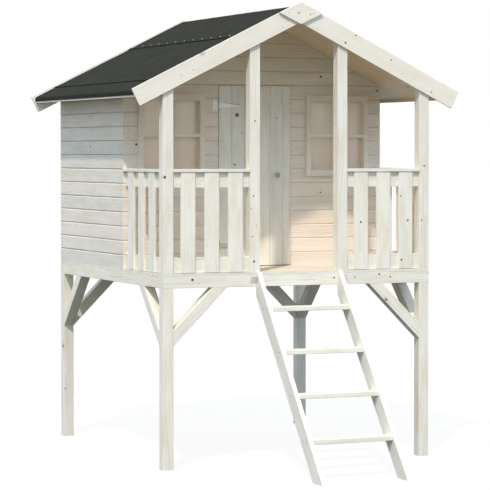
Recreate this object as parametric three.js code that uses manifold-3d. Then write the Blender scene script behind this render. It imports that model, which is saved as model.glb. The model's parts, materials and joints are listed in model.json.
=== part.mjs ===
// A wooden playhouse on legs: a platform with a ladder, a railed porch and a gabled cabin.
// Millimetres, +Z up, the ladder side faces -Y. The origin is on the ground, at the middle of the
// overall width and the overall length.

import * as THREE from 'three';
import { mergeVertices } from 'three/addons/utils/BufferGeometryUtils.js';
import Module from 'manifold-3d';

// Driving dimensions

const fit = {
  clearance: 0.3, // between two pieces that are fixed to each other
  overrun: 40, // how far a cutter runs past the wood that it cuts
  lap: 2, // how far nailed boards of one panel are merged into each other
};

const timber = { section: 70, arris: 2 }; // legs, porch posts and braces, and the beams' width

const platform = { width: 1870, depth: 2000, underside: 1144, frameHeight: 76 };

const joist = { width: 45, count: 2 };

const board = { cover: 93.6, thickness: 16, grooveWidth: 13, grooveDepth: 5 }; // planed, with a V joint

const brace = { reach: 365 }; // from the leg along the beam, and down the leg

const porch = { depth: 720, entryWidth: 545 }; // front edge to cabin wall, and clear between the inner posts

const wall = {
  sideHeight: 1214, // deck to roof boards, at the outside of a side wall
  lowestBoard: 88.6, // from the deck to the first joint
};

const batten = { width: 45, depth: 28 }; // inside the cabin walls

const roof = {
  pitch: THREE.MathUtils.degToRad(26.3),
  halfSpan: 1117,
  boardThickness: 16,
  lathThickness: 16, // the lath along the eave, under the ends of the roof boards
  lathDrop: 17, // from the underside of the roof boards' ends to the underside of the lath
};

const felt = {
  thickness: 2,
  lowerLap: 977, // half width under which the lowest strip shows
  lapWidth: 80,
  ridgeHalfWidth: 420, // half width that the strip over the ridge covers
  eaveFold: 22, // how far the felt is folded down over the roof boards' ends
};

// The rises are above the roof boards, square to the slope.
const bargeboard = { width: 116, thickness: 16, frontRise: 24, rearRise: 18, length: 1221 };

const apexPlate = {
  halfWidth: 150,
  halfHeight: 70,
  thickness: 16,
  drop: 7, // of its middle, from where the bargeboards' middle lines meet
};

const railing = {
  height: 656, // deck to the top of the cap
  capThickness: 20,
  capWidth: 75,
  capProud: 5,
  railHeight: 98,
  railThickness: 28,
  picketWidth: 98,
  picketThickness: 16,
  picketCount: 3,
  frontPitchShare: 0.31, // of the clear width of a front panel
  sidePitchShare: 0.2877, // of the clear length of a side panel
  floorGap: 1.5,
};

const door = {
  width: 518,
  height: 1200,
  sideGap: 3,
  floorGap: 5,
  proud: 1,
  stopLap: 10,
  ledgeHeight: 90,
  ledgeThickness: 16,
  ledgeEndGap: 6,
  ledgeInset: 90, // from the end of the leaf to the edge of the ledge
  diagonalWidth: 70,
};

const hinge = {
  plateWidth: 36,
  plateHeight: 80,
  plateThickness: 2.5,
  strapLength: 152,
  strapRoot: 40,
  strapTip: 14,
  strapThickness: 2.5,
  inset: 131, // from the end of the leaf to the middle of the strap
  pinRadius: 3,
  barrelRadius: 5.5,
  runningGap: 0.4,
  barrelHeight: 40,
};

const knob = {
  neckRadius: 8,
  neckLength: 14,
  headRadius: 18,
  headLength: 22,
  fromFreeEdge: 102,
  height: 604, // from the bottom of the leaf
};

const win = {
  bayShare: 0.685, // of the bay between the doorway and the side wall
  height: 541,
  centreHeight: 872.5, // from the deck
  outward: 3, // of the middle of the bay
  stileWidth: 33,
  railHeight: 40,
  barWidth: 20,
  barDepth: 10,
  barProud: 4,
  depth: 60,
  proud: 30, // of the wall boards
  paneSetback: 51,
  paneThickness: 3,
};

const ladder = {
  slope: THREE.MathUtils.degToRad(51.5),
  width: 600, // over the stringers
  stringerThickness: 28,
  stringerWidth: 106,
  tipLength: 14, // the level cut at the top of a stringer
  treadThickness: 28,
  treadDepth: 98,
  treadCount: 4,
  treadPitchShare: 0.2075, // of the deck's height
  firstTreadShare: 0.204, // of the deck's height, to the top of the lowest tread
};

const bracket = { flange: 40, sideFlange: 30, height: 41, thickness: 2, belowDeck: 29 };

// Places that follow from the driving dimensions

const frameTop = platform.underside + platform.frameHeight;
const deckTop = frameTop + board.thickness;
const halfWidth = platform.width / 2;
const halfDepth = platform.depth / 2;
const insideX = halfWidth - timber.section;
const insideY = halfDepth - timber.section;
const entryX = porch.entryWidth / 2;
const cabinFront = -halfDepth + porch.depth;
const cabinFrontInside = cabinFront + board.thickness;
const cabinRearInside = halfDepth - board.thickness;
const cabinSideInside = halfWidth - board.thickness;

const slopeTan = Math.tan(roof.pitch);
const slopeCos = Math.cos(roof.pitch);
const slopeSin = Math.sin(roof.pitch);
const ridgeUnderside = deckTop + wall.sideHeight + halfWidth * slopeTan;
const ridgeTopside = ridgeUnderside + roof.boardThickness / slopeCos;
const roofUnderside = (x) => ridgeUnderside - Math.abs(x) * slopeTan;
const roofTopside = (x) => ridgeTopside - Math.abs(x) * slopeTan;

const ladderTan = Math.tan(ladder.slope);
const ladderBack = -halfDepth - fit.clearance;
const ladderFrontEdge = (z) => ladderBack - ladder.tipLength - (deckTop - z) / ladderTan;
const stringerLevel = ladder.stringerWidth / Math.sin(ladder.slope);

const hingeAxis = {
  x: -door.width / 2 - door.sideGap / 2,
  y: cabinFront - door.proud - hinge.barrelRadius - fit.clearance,
};

const doorway = {
  halfWidth: door.width / 2 + door.sideGap,
  top: deckTop + door.floorGap + door.height + door.sideGap,
};

const windowBay = halfWidth - doorway.halfWidth;
const windowWidth = windowBay * win.bayShare;
const windowOffset = doorway.halfWidth + windowBay / 2 + win.outward;

// Materials

const wood = (color, roughness = 0.7) => new THREE.MeshStandardMaterial({ color, roughness, metalness: 0 });
const metal = () => new THREE.MeshStandardMaterial({ color: 0xa9b1b8, roughness: 0.35, metalness: 0.9 });
const glazedPine = () => wood(0xe6e2d6);
const naturalPine = () => wood(0xe8cfa8, 0.65);
const feltBlack = () => new THREE.MeshStandardMaterial({ color: 0x3c403c, roughness: 0.95, metalness: 0 });
const clearPane = () => {
  const finish = { color: 0xdfe8ea, roughness: 0.05, metalness: 0, transparent: true, opacity: 0.3 };
  return new THREE.MeshStandardMaterial(finish);
};

// Solids: closed meshes that are joined, cut and turned back into geometries

const wasm = await Module();
wasm.setup();

function toSolid(geometry) {
  const bare = geometry.clone();
  bare.deleteAttribute('normal');
  bare.deleteAttribute('uv');
  const merged = mergeVertices(bare);
  return new wasm.Manifold(
    new wasm.Mesh({
      numProp: 3,
      vertProperties: Float32Array.from(merged.attributes.position.array),
      triVerts: Uint32Array.from(merged.index.array),
    }),
  );
}

function toGeometry(solid) {
  const mesh = solid.getMesh();
  const geometry = new THREE.BufferGeometry();
  geometry.setAttribute('position', new THREE.BufferAttribute(Float32Array.from(mesh.vertProperties), 3));
  geometry.setIndex(new THREE.BufferAttribute(Uint32Array.from(mesh.triVerts), 1));
  geometry.computeVertexNormals();
  return geometry;
}

function join(geometries) {
  return toGeometry(geometries.map(toSolid).reduce((whole, solid) => whole.add(solid)));
}

function cut(geometry, cutters) {
  return toGeometry(cutters.map(toSolid).reduce((rest, solid) => rest.subtract(solid), toSolid(geometry)));
}

function common(geometry, other) {
  return toGeometry(toSolid(geometry).intersect(toSolid(other)));
}

// Stock: blocks and prisms given by their faces' places

function block([x0, x1], [y0, y1], [z0, z1]) {
  const geometry = new THREE.BoxGeometry(x1 - x0, y1 - y0, z1 - z0);
  return geometry.translate((x0 + x1) / 2, (y0 + y1) / 2, (z0 + z1) / 2);
}

function shapeOf(points) {
  return new THREE.Shape(points.map(([a, b]) => new THREE.Vector2(a, b)));
}

function extruded(points, length) {
  return new THREE.ExtrudeGeometry(shapeOf(points), { depth: length, bevelEnabled: false });
}

// Outline in X and Y, carried from z0 to z1.
function prismUp(points, [z0, z1]) {
  return extruded(points, z1 - z0).translate(0, 0, z0);
}

// Outline in Y and Z, carried from x0 to x1.
function prismAcross(points, [x0, x1]) {
  const turn = new THREE.Matrix4().makeBasis(
    new THREE.Vector3(0, 1, 0),
    new THREE.Vector3(0, 0, 1),
    new THREE.Vector3(1, 0, 0),
  );
  return extruded(points, x1 - x0).applyMatrix4(turn).translate(x0, 0, 0);
}

// Outline in X and Z, carried from y1 back to y0.
function prismDeep(points, [y0, y1]) {
  const turn = new THREE.Matrix4().makeBasis(
    new THREE.Vector3(1, 0, 0),
    new THREE.Vector3(0, 0, 1),
    new THREE.Vector3(0, -1, 0),
  );
  return extruded(points, y1 - y0).applyMatrix4(turn).translate(0, y1, 0);
}

// A rectangle whose corners are eased by the arris of planed timber.
function easedRectangle([a0, a1], [b0, b1], ease = timber.arris) {
  return [
    [a0 + ease, b0],
    [a1 - ease, b0],
    [a1, b0 + ease],
    [a1, b1 - ease],
    [a1 - ease, b1],
    [a0 + ease, b1],
    [a0, b1 - ease],
    [a0, b0 + ease],
  ];
}

// Mirror-image places on both sides of the middle, as [low, high].
function span(side, near, far) {
  return side < 0 ? [-far, -near] : [near, far];
}

const sides = [
  ['left', -1],
  ['right', 1],
];
const ends = [
  ['front', -1],
  ['rear', 1],
];

const house = new THREE.Group();

function add(name, geometry, material, parent = house) {
  const mesh = new THREE.Mesh(geometry, material);
  mesh.name = name;
  parent.add(mesh);
  return mesh;
}

// Platform: four legs under a frame of beams, two joists, braces and a boarded deck

function addLegs() {
  const top = platform.underside - fit.clearance;
  for (const [endName, end] of ends) {
    for (const [sideName, side] of sides) {
      const outline = easedRectangle(span(side, insideX, halfWidth), span(end, insideY, halfDepth));
      add(`leg_${endName}_${sideName}`, prismUp(outline, [0, top]), glazedPine());
    }
  }
}

function addBeams() {
  const height = [platform.underside, frameTop - fit.clearance];
  for (const [endName, end] of ends) {
    const outline = easedRectangle(span(end, insideY, halfDepth), height);
    add(`beam_${endName}`, prismAcross(outline, [-halfWidth, halfWidth]), glazedPine());
  }
  for (const [sideName, side] of sides) {
    const outline = easedRectangle(span(side, insideX, halfWidth), height);
    const run = [-insideY + fit.clearance, insideY - fit.clearance];
    add(`beam_${sideName}`, prismDeep(outline, run), glazedPine());
  }
  const bay = (2 * insideX) / (joist.count + 1);
  for (let i = 0; i < joist.count; i += 1) {
    const middle = -insideX + bay * (i + 1);
    const outline = easedRectangle([middle - joist.width / 2, middle + joist.width / 2], height);
    const run = [-insideY + fit.clearance, insideY - fit.clearance];
    add(`joist_${sides[i][0]}`, prismDeep(outline, run), glazedPine());
  }
}

// A length of timber at 45 degrees in the corner between a leg and a beam. The corner is at zero
// and the brace lies on the positive side of u and the negative side of z.
function braceTimber() {
  const half = timber.section / 2;
  const across = Math.SQRT1_2 * timber.section;
  const middle = brace.reach / 2 - across / 2;
  const length = brace.reach * Math.SQRT2 + fit.overrun * 2;
  const stock = prismUp(easedRectangle([-half, half], [-half, half]), [-length / 2, length / 2]);
  stock.rotateY(Math.PI / 4).translate(middle, 0, -middle);
  const reach = brace.reach + fit.overrun;
  const corner = block(
    [fit.clearance, reach],
    [-timber.section, timber.section],
    [-reach, -fit.clearance],
  );
  return common(stock, corner);
}

function addBraces() {
  const shape = braceTimber();
  for (const [endName, end] of ends) {
    for (const [sideName, side] of sides) {
      const across = add(`brace_${endName}_${sideName}_across`, shape, glazedPine());
      across.rotation.z = side < 0 ? 0 : Math.PI;
      across.position.set(side * insideX, end * (halfDepth - timber.section / 2), platform.underside);
      const deep = add(`brace_${endName}_${sideName}_deep`, shape, glazedPine());
      deep.rotation.z = end < 0 ? Math.PI / 2 : -Math.PI / 2;
      deep.position.set(side * (halfWidth - timber.section / 2), end * insideY, platform.underside);
    }
  }
}

// Section of boards laid edge to edge, with a V joint at every cover width on their good face:
// thickness first, then the direction in which they repeat.
function boardedSection(goodFace, backFace, [low, high], first = low + board.cover) {
  const inward = Math.sign(backFace - goodFace);
  const points = [[goodFace, low]];
  for (let joint = first; joint < high - board.grooveWidth; joint += board.cover) {
    points.push([goodFace, joint - board.grooveWidth / 2]);
    points.push([goodFace + inward * board.grooveDepth, joint]);
    points.push([goodFace, joint + board.grooveWidth / 2]);
  }
  points.push([goodFace, high], [backFace, high], [backFace, low]);
  return points;
}

function addDeck() {
  const faces = boardedSection(deckTop, frameTop, [-halfDepth, halfDepth]);
  const outline = faces.map(([z, y]) => [y, z]);
  add('floor_deck', prismAcross(outline, [-halfWidth, halfWidth]), naturalPine());
}

// Porch posts, cut to the slope under the roof

function roofCutter() {
  const edge = halfWidth + fit.overrun;
  const lift = ridgeTopside + fit.overrun;
  const outline = [
    [-edge, roofUnderside(edge) - fit.clearance],
    [0, ridgeUnderside - fit.clearance],
    [edge, roofUnderside(edge) - fit.clearance],
    [edge, lift],
    [-edge, lift],
  ];
  const reach = halfDepth + fit.overrun;
  return prismDeep(outline, [-reach, reach]);
}

function addPosts() {
  const places = [
    ['porch_post_corner', insideX, halfWidth],
    ['porch_post_inner', entryX, entryX + timber.section],
  ];
  for (const [name, near, far] of places) {
    for (const [sideName, side] of sides) {
      const outline = easedRectangle(span(side, near, far), [-halfDepth, -insideY]);
      const stock = prismUp(outline, [deckTop + fit.clearance, ridgeUnderside]);
      add(`${name}_${sideName}`, cut(stock, [roofCutter()]), glazedPine());
    }
  }
}

// Railing panels: two rails with pickets on their outside and a cap on top. A panel is built along
// X with its outside facing -Y, its middle at zero and its foot at zero.

function railingPanel(length, pitchShare) {
  const pitch = length * pitchShare;
  const half = length / 2 - fit.clearance;
  const foot = railing.floorGap;
  const capBottom = railing.height - railing.capThickness;
  const picketBack = railing.picketThickness;
  const railDepth = [picketBack - fit.lap, picketBack + railing.railThickness];
  const capDepth = [-railing.capProud, railing.capWidth - railing.capProud];
  const pieces = [
    block([-half, half], railDepth, [foot, foot + railing.railHeight]),
    block([-half, half], railDepth, [capBottom - railing.railHeight, capBottom + fit.lap]),
    block([-half, half], capDepth, [capBottom, railing.height]),
  ];
  for (let i = 0; i < railing.picketCount; i += 1) {
    const middle = (i - (railing.picketCount - 1) / 2) * pitch;
    const width = [middle - railing.picketWidth / 2, middle + railing.picketWidth / 2];
    pieces.push(block(width, [0, picketBack], [foot, capBottom + fit.lap]));
  }
  return join(pieces);
}

function addRailings() {
  const frontClear = insideX - entryX - timber.section;
  const sideClear = porch.depth - timber.section;
  const frontPanel = railingPanel(frontClear, railing.frontPitchShare);
  const sidePanel = railingPanel(sideClear, railing.sidePitchShare);
  for (const [sideName, side] of sides) {
    const front = add(`railing_front_${sideName}`, frontPanel, glazedPine());
    front.position.set(side * (insideX - frontClear / 2), -halfDepth, deckTop);
    const flank = add(`railing_side_${sideName}`, sidePanel, glazedPine());
    flank.rotation.z = (side * Math.PI) / 2;
    flank.position.set(side * halfWidth, cabinFront - sideClear / 2, deckTop);
  }
}

// Cabin walls: boards with V joints, nailed on battens

const wallFoot = deckTop + fit.clearance;

function gableOutline() {
  const edge = roofUnderside(halfWidth) - fit.clearance;
  return [
    [-halfWidth, wallFoot],
    [halfWidth, wallFoot],
    [halfWidth, edge],
    [0, ridgeUnderside - fit.clearance],
    [-halfWidth, edge],
  ];
}

function gableBoards(outside, inside) {
  const section = boardedSection(outside, inside, [wallFoot, ridgeUnderside], deckTop + wall.lowestBoard);
  const boards = prismAcross(section, [-halfWidth, halfWidth]);
  const reach = halfDepth + fit.overrun;
  return common(boards, prismDeep(gableOutline(), [-reach, reach]));
}

// Battens stand on a gable wall's inner face, here given as [low, high] in Y.
function uprightBatten([x0, x1], depth, top = roofUnderside(Math.max(Math.abs(x0), Math.abs(x1)))) {
  return block([x0, x1], depth, [wallFoot, top - batten.width]);
}

function cornerBattens(depth) {
  const outer = cabinSideInside - fit.clearance;
  return sides.map(([, side]) => uprightBatten(span(side, outer - batten.width, outer), depth));
}

function addRearWall() {
  const depth = [cabinRearInside - batten.depth, cabinRearInside + fit.lap];
  const middle = uprightBatten([-batten.width / 2, batten.width / 2], depth);
  const pieces = [gableBoards(halfDepth, cabinRearInside), middle, ...cornerBattens(depth)];
  add('wall_rear', join(pieces), glazedPine());
}

function windowCutter(side) {
  const halfW = windowWidth / 2 + fit.clearance;
  const halfH = win.height / 2 + fit.clearance;
  const middle = side * windowOffset;
  const height = deckTop + win.centreHeight;
  return block(
    [middle - halfW, middle + halfW],
    [cabinFront - fit.overrun, cabinFrontInside + batten.depth + fit.overrun],
    [height - halfH, height + halfH],
  );
}

function addFrontWall() {
  const doorCutter = block(
    [-doorway.halfWidth, doorway.halfWidth],
    [cabinFront - fit.overrun, cabinFrontInside],
    [wallFoot - fit.overrun, doorway.top],
  );
  const boards = cut(gableBoards(cabinFront, cabinFrontInside), [
    doorCutter,
    ...sides.map(([, side]) => windowCutter(side)),
  ]);
  const depth = [cabinFrontInside, cabinFrontInside + batten.depth];
  const nailed = [depth[0] - fit.lap, depth[1]];
  const stop = doorway.halfWidth - door.stopLap;
  const head = doorway.top - door.stopLap;
  const stopFace = [depth[0], depth[1]];
  const jambs = sides.map(([, side]) =>
    block(span(side, stop, stop + batten.width), stopFace, [wallFoot, head + batten.width]),
  );
  const lintel = block([-stop - batten.width, stop + batten.width], stopFace, [head, head + batten.width]);
  const nailing = [
    ...sides.map(([, side]) =>
      block(span(side, doorway.halfWidth, stop + batten.width), nailed, [wallFoot, head + batten.width]),
    ),
    block([-stop - batten.width, stop + batten.width], nailed, [doorway.top, head + batten.width]),
  ];
  add('wall_front', join([boards, ...cornerBattens(nailed), ...jambs, lintel, ...nailing]), glazedPine());
}

function addSideWalls() {
  const run = [cabinFrontInside + fit.clearance, cabinRearInside - fit.clearance];
  const edge = roofUnderside(halfWidth);
  for (const [sideName, side] of sides) {
    const section = boardedSection(
      side * halfWidth,
      side * cabinSideInside,
      [wallFoot, edge + slopeTan * board.thickness],
      deckTop + wall.lowestBoard,
    );
    const boards = cut(prismDeep(section, run), [roofCutter()]);
    const middle = (run[0] + run[1]) / 2;
    const upright = block(
      span(side, cabinSideInside - batten.depth, cabinSideInside + fit.lap),
      [middle - batten.width / 2, middle + batten.width / 2],
      [wallFoot, edge - batten.width],
    );
    add(`wall_${sideName}`, join([boards, upright]), glazedPine());
  }
}

// Windows: a deep frame through the front wall, a cross of bars laid over its front, and a clear
// pane near its back. The frame's front is at zero.

function windowFrame() {
  const halfW = windowWidth / 2;
  const halfH = win.height / 2;
  const outer = block([-halfW, halfW], [0, win.depth], [-halfH, halfH]);
  const innerW = halfW - win.stileWidth;
  const innerH = halfH - win.railHeight;
  const light = block([-innerW, innerW], [-fit.overrun, win.depth + fit.overrun], [-innerH, innerH]);
  const ring = cut(outer, [light]);
  const barDepth = [-win.barProud, win.barDepth - win.barProud];
  const standing = block([-win.barWidth / 2, win.barWidth / 2], barDepth, [-halfH, halfH]);
  const lying = block([-halfW, halfW], barDepth, [-win.barWidth / 2, win.barWidth / 2]);
  return join([ring, standing, lying]);
}

function windowPane() {
  const halfW = windowWidth / 2 - win.stileWidth - fit.clearance;
  const halfH = win.height / 2 - win.railHeight - fit.clearance;
  return block([-halfW, halfW], [win.paneSetback, win.paneSetback + win.paneThickness], [-halfH, halfH]);
}

function addWindows() {
  const frame = windowFrame();
  const pane = windowPane();
  for (const [sideName, side] of sides) {
    const place = new THREE.Group();
    place.position.set(side * windowOffset, cabinFront - win.proud, deckTop + win.centreHeight);
    add(`window_frame_${sideName}`, frame, glazedPine(), place);
    add(`window_pane_${sideName}`, pane, clearPane(), place);
    house.add(place);
  }
}

// Door: a leaf of upright boards on a Z of ledges, hung on two strap hinges, with a turned knob

const doorFoot = deckTop + door.floorGap;
const doorHead = doorFoot + door.height;
const leafFront = cabinFront - door.proud;
const leafBack = leafFront + board.thickness;

function addLeaf() {
  const half = door.width / 2;
  const section = boardedSection(leafFront, leafBack, [-half, half]).map(([y, x]) => [x, y]);
  add('door_leaf', prismUp(section, [doorFoot, doorHead]), glazedPine());
}

function addLedges() {
  const half = door.width / 2 + door.sideGap - door.stopLap - door.ledgeEndGap;
  const depth = [leafBack + fit.clearance, leafBack + door.ledgeThickness];
  const low = doorFoot + door.ledgeInset;
  const high = doorHead - door.ledgeInset;
  const lower = block([-half, half], depth, [low, low + door.ledgeHeight]);
  const upper = block([-half, half], depth, [high - door.ledgeHeight, high]);
  const from = low + door.ledgeHeight - fit.lap;
  const to = high - door.ledgeHeight + fit.lap;
  const diagonal = prismDeep(
    [
      [-half, from],
      [-half + door.diagonalWidth, from],
      [half, to],
      [half - door.diagonalWidth, to],
    ],
    depth,
  );
  add('door_ledges', join([lower, upper, diagonal]), glazedPine());
}

function roundBar(radius, height) {
  return new THREE.CylinderGeometry(radius, radius, height, 24).rotateX(Math.PI / 2);
}

// The plate is screwed to the wall and carries the pin, with a barrel above and below the strap's.
function hingePlate() {
  const inner = hingeAxis.x - hinge.barrelRadius - hinge.runningGap;
  const outer = inner - hinge.plateWidth;
  const back = cabinFront - fit.clearance;
  const face = back - hinge.plateThickness;
  const strapHalf = hinge.barrelHeight / 2 + hinge.runningGap;
  const barrelHeight = hinge.plateHeight / 2 - strapHalf;
  const pieces = [block([outer, inner], [face, back], [-hinge.plateHeight / 2, hinge.plateHeight / 2])];
  for (const level of [-1, 1]) {
    const middle = level * (strapHalf + barrelHeight / 2);
    pieces.push(roundBar(hinge.barrelRadius, barrelHeight).translate(hingeAxis.x, hingeAxis.y, middle));
    const ear = [middle - barrelHeight / 2, middle + barrelHeight / 2];
    pieces.push(block([inner - fit.lap, hingeAxis.x], [face, back], ear));
  }
  pieces.push(roundBar(hinge.pinRadius, hinge.plateHeight - fit.lap).translate(hingeAxis.x, hingeAxis.y, 0));
  return join(pieces);
}

// The strap tapers along the leaf and ends in its own barrel round the pin.
function hingeStrap() {
  const back = leafFront - fit.clearance;
  const face = back - hinge.strapThickness;
  const root = hingeAxis.x;
  const tip = root + hinge.strapLength;
  const taper = prismDeep(
    [
      [root, -hinge.strapRoot / 2],
      [tip, -hinge.strapTip / 2],
      [tip, hinge.strapTip / 2],
      [root, hinge.strapRoot / 2],
    ],
    [face, back],
  );
  const barrel = roundBar(hinge.barrelRadius, hinge.barrelHeight).translate(hingeAxis.x, hingeAxis.y, 0);
  const bore = roundBar(hinge.pinRadius + hinge.runningGap, hinge.plateHeight);
  return cut(join([taper, barrel]), [bore.translate(hingeAxis.x, hingeAxis.y, 0)]);
}

function addHinges() {
  const plate = hingePlate();
  const strap = hingeStrap();
  const levels = [
    ['upper', doorHead - hinge.inset],
    ['lower', doorFoot + hinge.inset],
  ];
  for (const [levelName, height] of levels) {
    add(`hinge_plate_${levelName}`, plate, metal()).position.z = height;
    add(`hinge_strap_${levelName}`, strap, metal()).position.z = height;
  }
}

function addKnob() {
  const profile = [
    new THREE.Vector2(0, 0),
    new THREE.Vector2(knob.neckRadius, 0),
    new THREE.Vector2(knob.neckRadius, knob.neckLength),
  ];
  const steps = 8;
  for (let i = 1; i <= steps; i += 1) {
    const angle = (Math.PI * i) / steps;
    const radius = Math.max(knob.headRadius * Math.sin(angle), i === steps ? 0 : knob.neckRadius);
    const along = knob.neckLength + (knob.headLength * (1 - Math.cos(angle))) / 2;
    profile.push(new THREE.Vector2(radius, along));
  }
  const turned = new THREE.LatheGeometry(profile, 24);
  turned.rotateX(Math.PI);
  const mesh = add('door_knob', turned, wood(0xd9c7a3, 0.5));
  mesh.position.set(
    door.width / 2 - knob.fromFreeEdge,
    leafFront - fit.clearance,
    doorFoot + knob.height,
  );
}

// Roof: two boarded panels with a lath at the eave, felt in strips, bargeboards and an apex plate

function addRoofPanels() {
  const lathInside = roof.halfSpan - roof.lathThickness;
  const lathBottom = roofUnderside(roof.halfSpan) - roof.lathDrop;
  for (const [sideName, side] of sides) {
    const half = [
      [fit.clearance, roofUnderside(fit.clearance)],
      [lathInside, roofUnderside(lathInside)],
      [lathInside, lathBottom],
      [roof.halfSpan, lathBottom],
      [roof.halfSpan, roofTopside(roof.halfSpan)],
      [fit.clearance, roofTopside(fit.clearance)],
    ];
    add(`roof_panel_${sideName}`, prismDeep(onSide(half, side), [-halfDepth, halfDepth]), naturalPine());
  }
}

// An outline drawn for the right side, mirrored for the left one and kept anticlockwise.
function onSide(points, side) {
  return side > 0 ? points : points.map(([x, z]) => [-x, z]).reverse();
}

// A line parallel to the roof boards at a height above them, measured square to the slope.
function aboveRoof(x, offset) {
  return roofTopside(x) + offset / slopeCos;
}

const feltLow = fit.clearance;
const feltHigh = feltLow + felt.thickness;
const feltRun = [-halfDepth + fit.clearance, halfDepth - fit.clearance];

function addSideFelts() {
  const inner = roof.halfSpan + fit.clearance;
  const outer = inner + felt.thickness;
  const foldEnd = roofUnderside(roof.halfSpan) + roof.boardThickness / slopeCos - felt.eaveFold;
  const lapTop = felt.lowerLap - felt.lapWidth;
  for (const [sideName, side] of sides) {
    const half = [
      [fit.clearance, aboveRoof(fit.clearance, feltLow)],
      [inner, aboveRoof(inner, feltLow)],
      [inner, foldEnd],
      [outer, foldEnd],
      [outer, aboveRoof(outer, feltHigh)],
      [felt.lowerLap, aboveRoof(felt.lowerLap, feltHigh)],
      [felt.lowerLap, aboveRoof(felt.lowerLap, feltHigh + felt.thickness)],
      [lapTop, aboveRoof(lapTop, feltHigh)],
      [fit.clearance, aboveRoof(fit.clearance, feltHigh)],
    ];
    add(`felt_${sideName}`, prismDeep(onSide(half, side), feltRun), feltBlack());
  }
}

function addRidgeFelt() {
  const low = feltHigh + fit.clearance;
  const high = low + felt.thickness;
  const edge = felt.ridgeHalfWidth;
  const outline = [
    [-edge, aboveRoof(edge, low)],
    [0, aboveRoof(0, low)],
    [edge, aboveRoof(edge, low)],
    [edge, aboveRoof(edge, high)],
    [0, aboveRoof(0, high)],
    [-edge, aboveRoof(edge, high)],
  ];
  add('felt_ridge', prismDeep(outline, feltRun), feltBlack());
}

function bargeOutline(rise) {
  const bottom = rise - bargeboard.width;
  const lowerCorner = bargeboard.length * slopeCos;
  const upperCorner = lowerCorner + bargeboard.width * slopeSin;
  return [
    [fit.clearance, aboveRoof(fit.clearance, bottom)],
    [lowerCorner, aboveRoof(lowerCorner, bottom)],
    [upperCorner, aboveRoof(upperCorner, rise)],
    [fit.clearance, aboveRoof(fit.clearance, rise)],
  ];
}

function addBargeboards() {
  for (const [endName, end] of ends) {
    const inner = halfDepth + fit.clearance;
    const depth = span(end, inner, inner + bargeboard.thickness);
    const half = bargeOutline(end < 0 ? bargeboard.frontRise : bargeboard.rearRise);
    for (const [sideName, side] of sides) {
      add(`bargeboard_${endName}_${sideName}`, prismDeep(onSide(half, side), depth), glazedPine());
    }
  }
}

function addApexPlate() {
  const middle = aboveRoof(0, bargeboard.frontRise - bargeboard.width / 2) - apexPlate.drop;
  const outline = [
    [-apexPlate.halfWidth, middle],
    [0, middle - apexPlate.halfHeight],
    [apexPlate.halfWidth, middle],
    [0, middle + apexPlate.halfHeight],
  ];
  const back = -halfDepth - bargeboard.thickness - 2 * fit.clearance;
  add('apex_plate', prismDeep(outline, [back - apexPlate.thickness, back]), glazedPine());
}

// Ladder: two stringers, cut plumb against the front beam and level at the top, with treads between them

function addLadder() {
  const outline = [
    [ladderBack, deckTop],
    [ladderFrontEdge(deckTop), deckTop],
    [ladderFrontEdge(0), 0],
    [ladderFrontEdge(0) + stringerLevel, 0],
    [ladderBack, deckTop - (stringerLevel - ladder.tipLength) * ladderTan],
  ];
  const outside = ladder.width / 2;
  const inside = outside - ladder.stringerThickness;
  for (const [sideName, side] of sides) {
    add(`ladder_stringer_${sideName}`, prismAcross(outline, span(side, inside, outside)), glazedPine());
  }
  const reach = inside - fit.clearance;
  for (let i = 0; i < ladder.treadCount; i += 1) {
    const treadTop = deckTop * (ladder.firstTreadShare + i * ladder.treadPitchShare);
    const front = ladderFrontEdge(treadTop);
    const height = [treadTop - ladder.treadThickness, treadTop];
    const profile = easedRectangle([front, front + ladder.treadDepth], height);
    add(`ladder_tread_${i + 1}`, prismAcross(profile, [-reach, reach]), glazedPine());
  }
}

function addBrackets() {
  const top = deckTop - bracket.belowDeck;
  const inner = ladder.width / 2 + fit.clearance;
  for (const [sideName, side] of sides) {
    const outline = [
      [inner, ladderBack],
      [inner, ladderBack - bracket.sideFlange],
      [inner + bracket.thickness, ladderBack - bracket.sideFlange],
      [inner + bracket.thickness, ladderBack - bracket.thickness],
      [inner + bracket.flange, ladderBack - bracket.thickness],
      [inner + bracket.flange, ladderBack],
    ];
    const plan = onSide(outline, side);
    add(`ladder_bracket_${sideName}`, prismUp(plan, [top - bracket.height, top]), metal());
  }
}

addLegs();
addBeams();
addBraces();
addDeck();
addPosts();
addRailings();
addRearWall();
addFrontWall();
addSideWalls();
addWindows();
addLeaf();
addLedges();
addHinges();
addKnob();
addRoofPanels();
addSideFelts();
addRidgeFelt();
addBargeboards();
addApexPlate();
addLadder();
addBrackets();

// The origin is moved to the middle of the overall length, from the ladder's foot to the rear
// bargeboards.
const frontReach = ladderFrontEdge(0);
const rearReach = halfDepth + fit.clearance + bargeboard.thickness;
house.position.y = -(frontReach + rearReach) / 2;

const group = new THREE.Group();
group.add(house);

export default group;
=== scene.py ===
"""Looks of a raised wooden playhouse: finishes, railings, window joinery, felt, fixings and studio.

Everything is in metres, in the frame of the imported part: +X to the right, +Y to the rear, +Z up, with the
ladder side facing -Y.
"""

from __future__ import annotations

import json
import logging
import math
from dataclasses import dataclass, replace
from enum import Enum
from typing import Callable, Iterable, Optional, Sequence, Union

import bpy
from mathutils import Matrix, Vector

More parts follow.
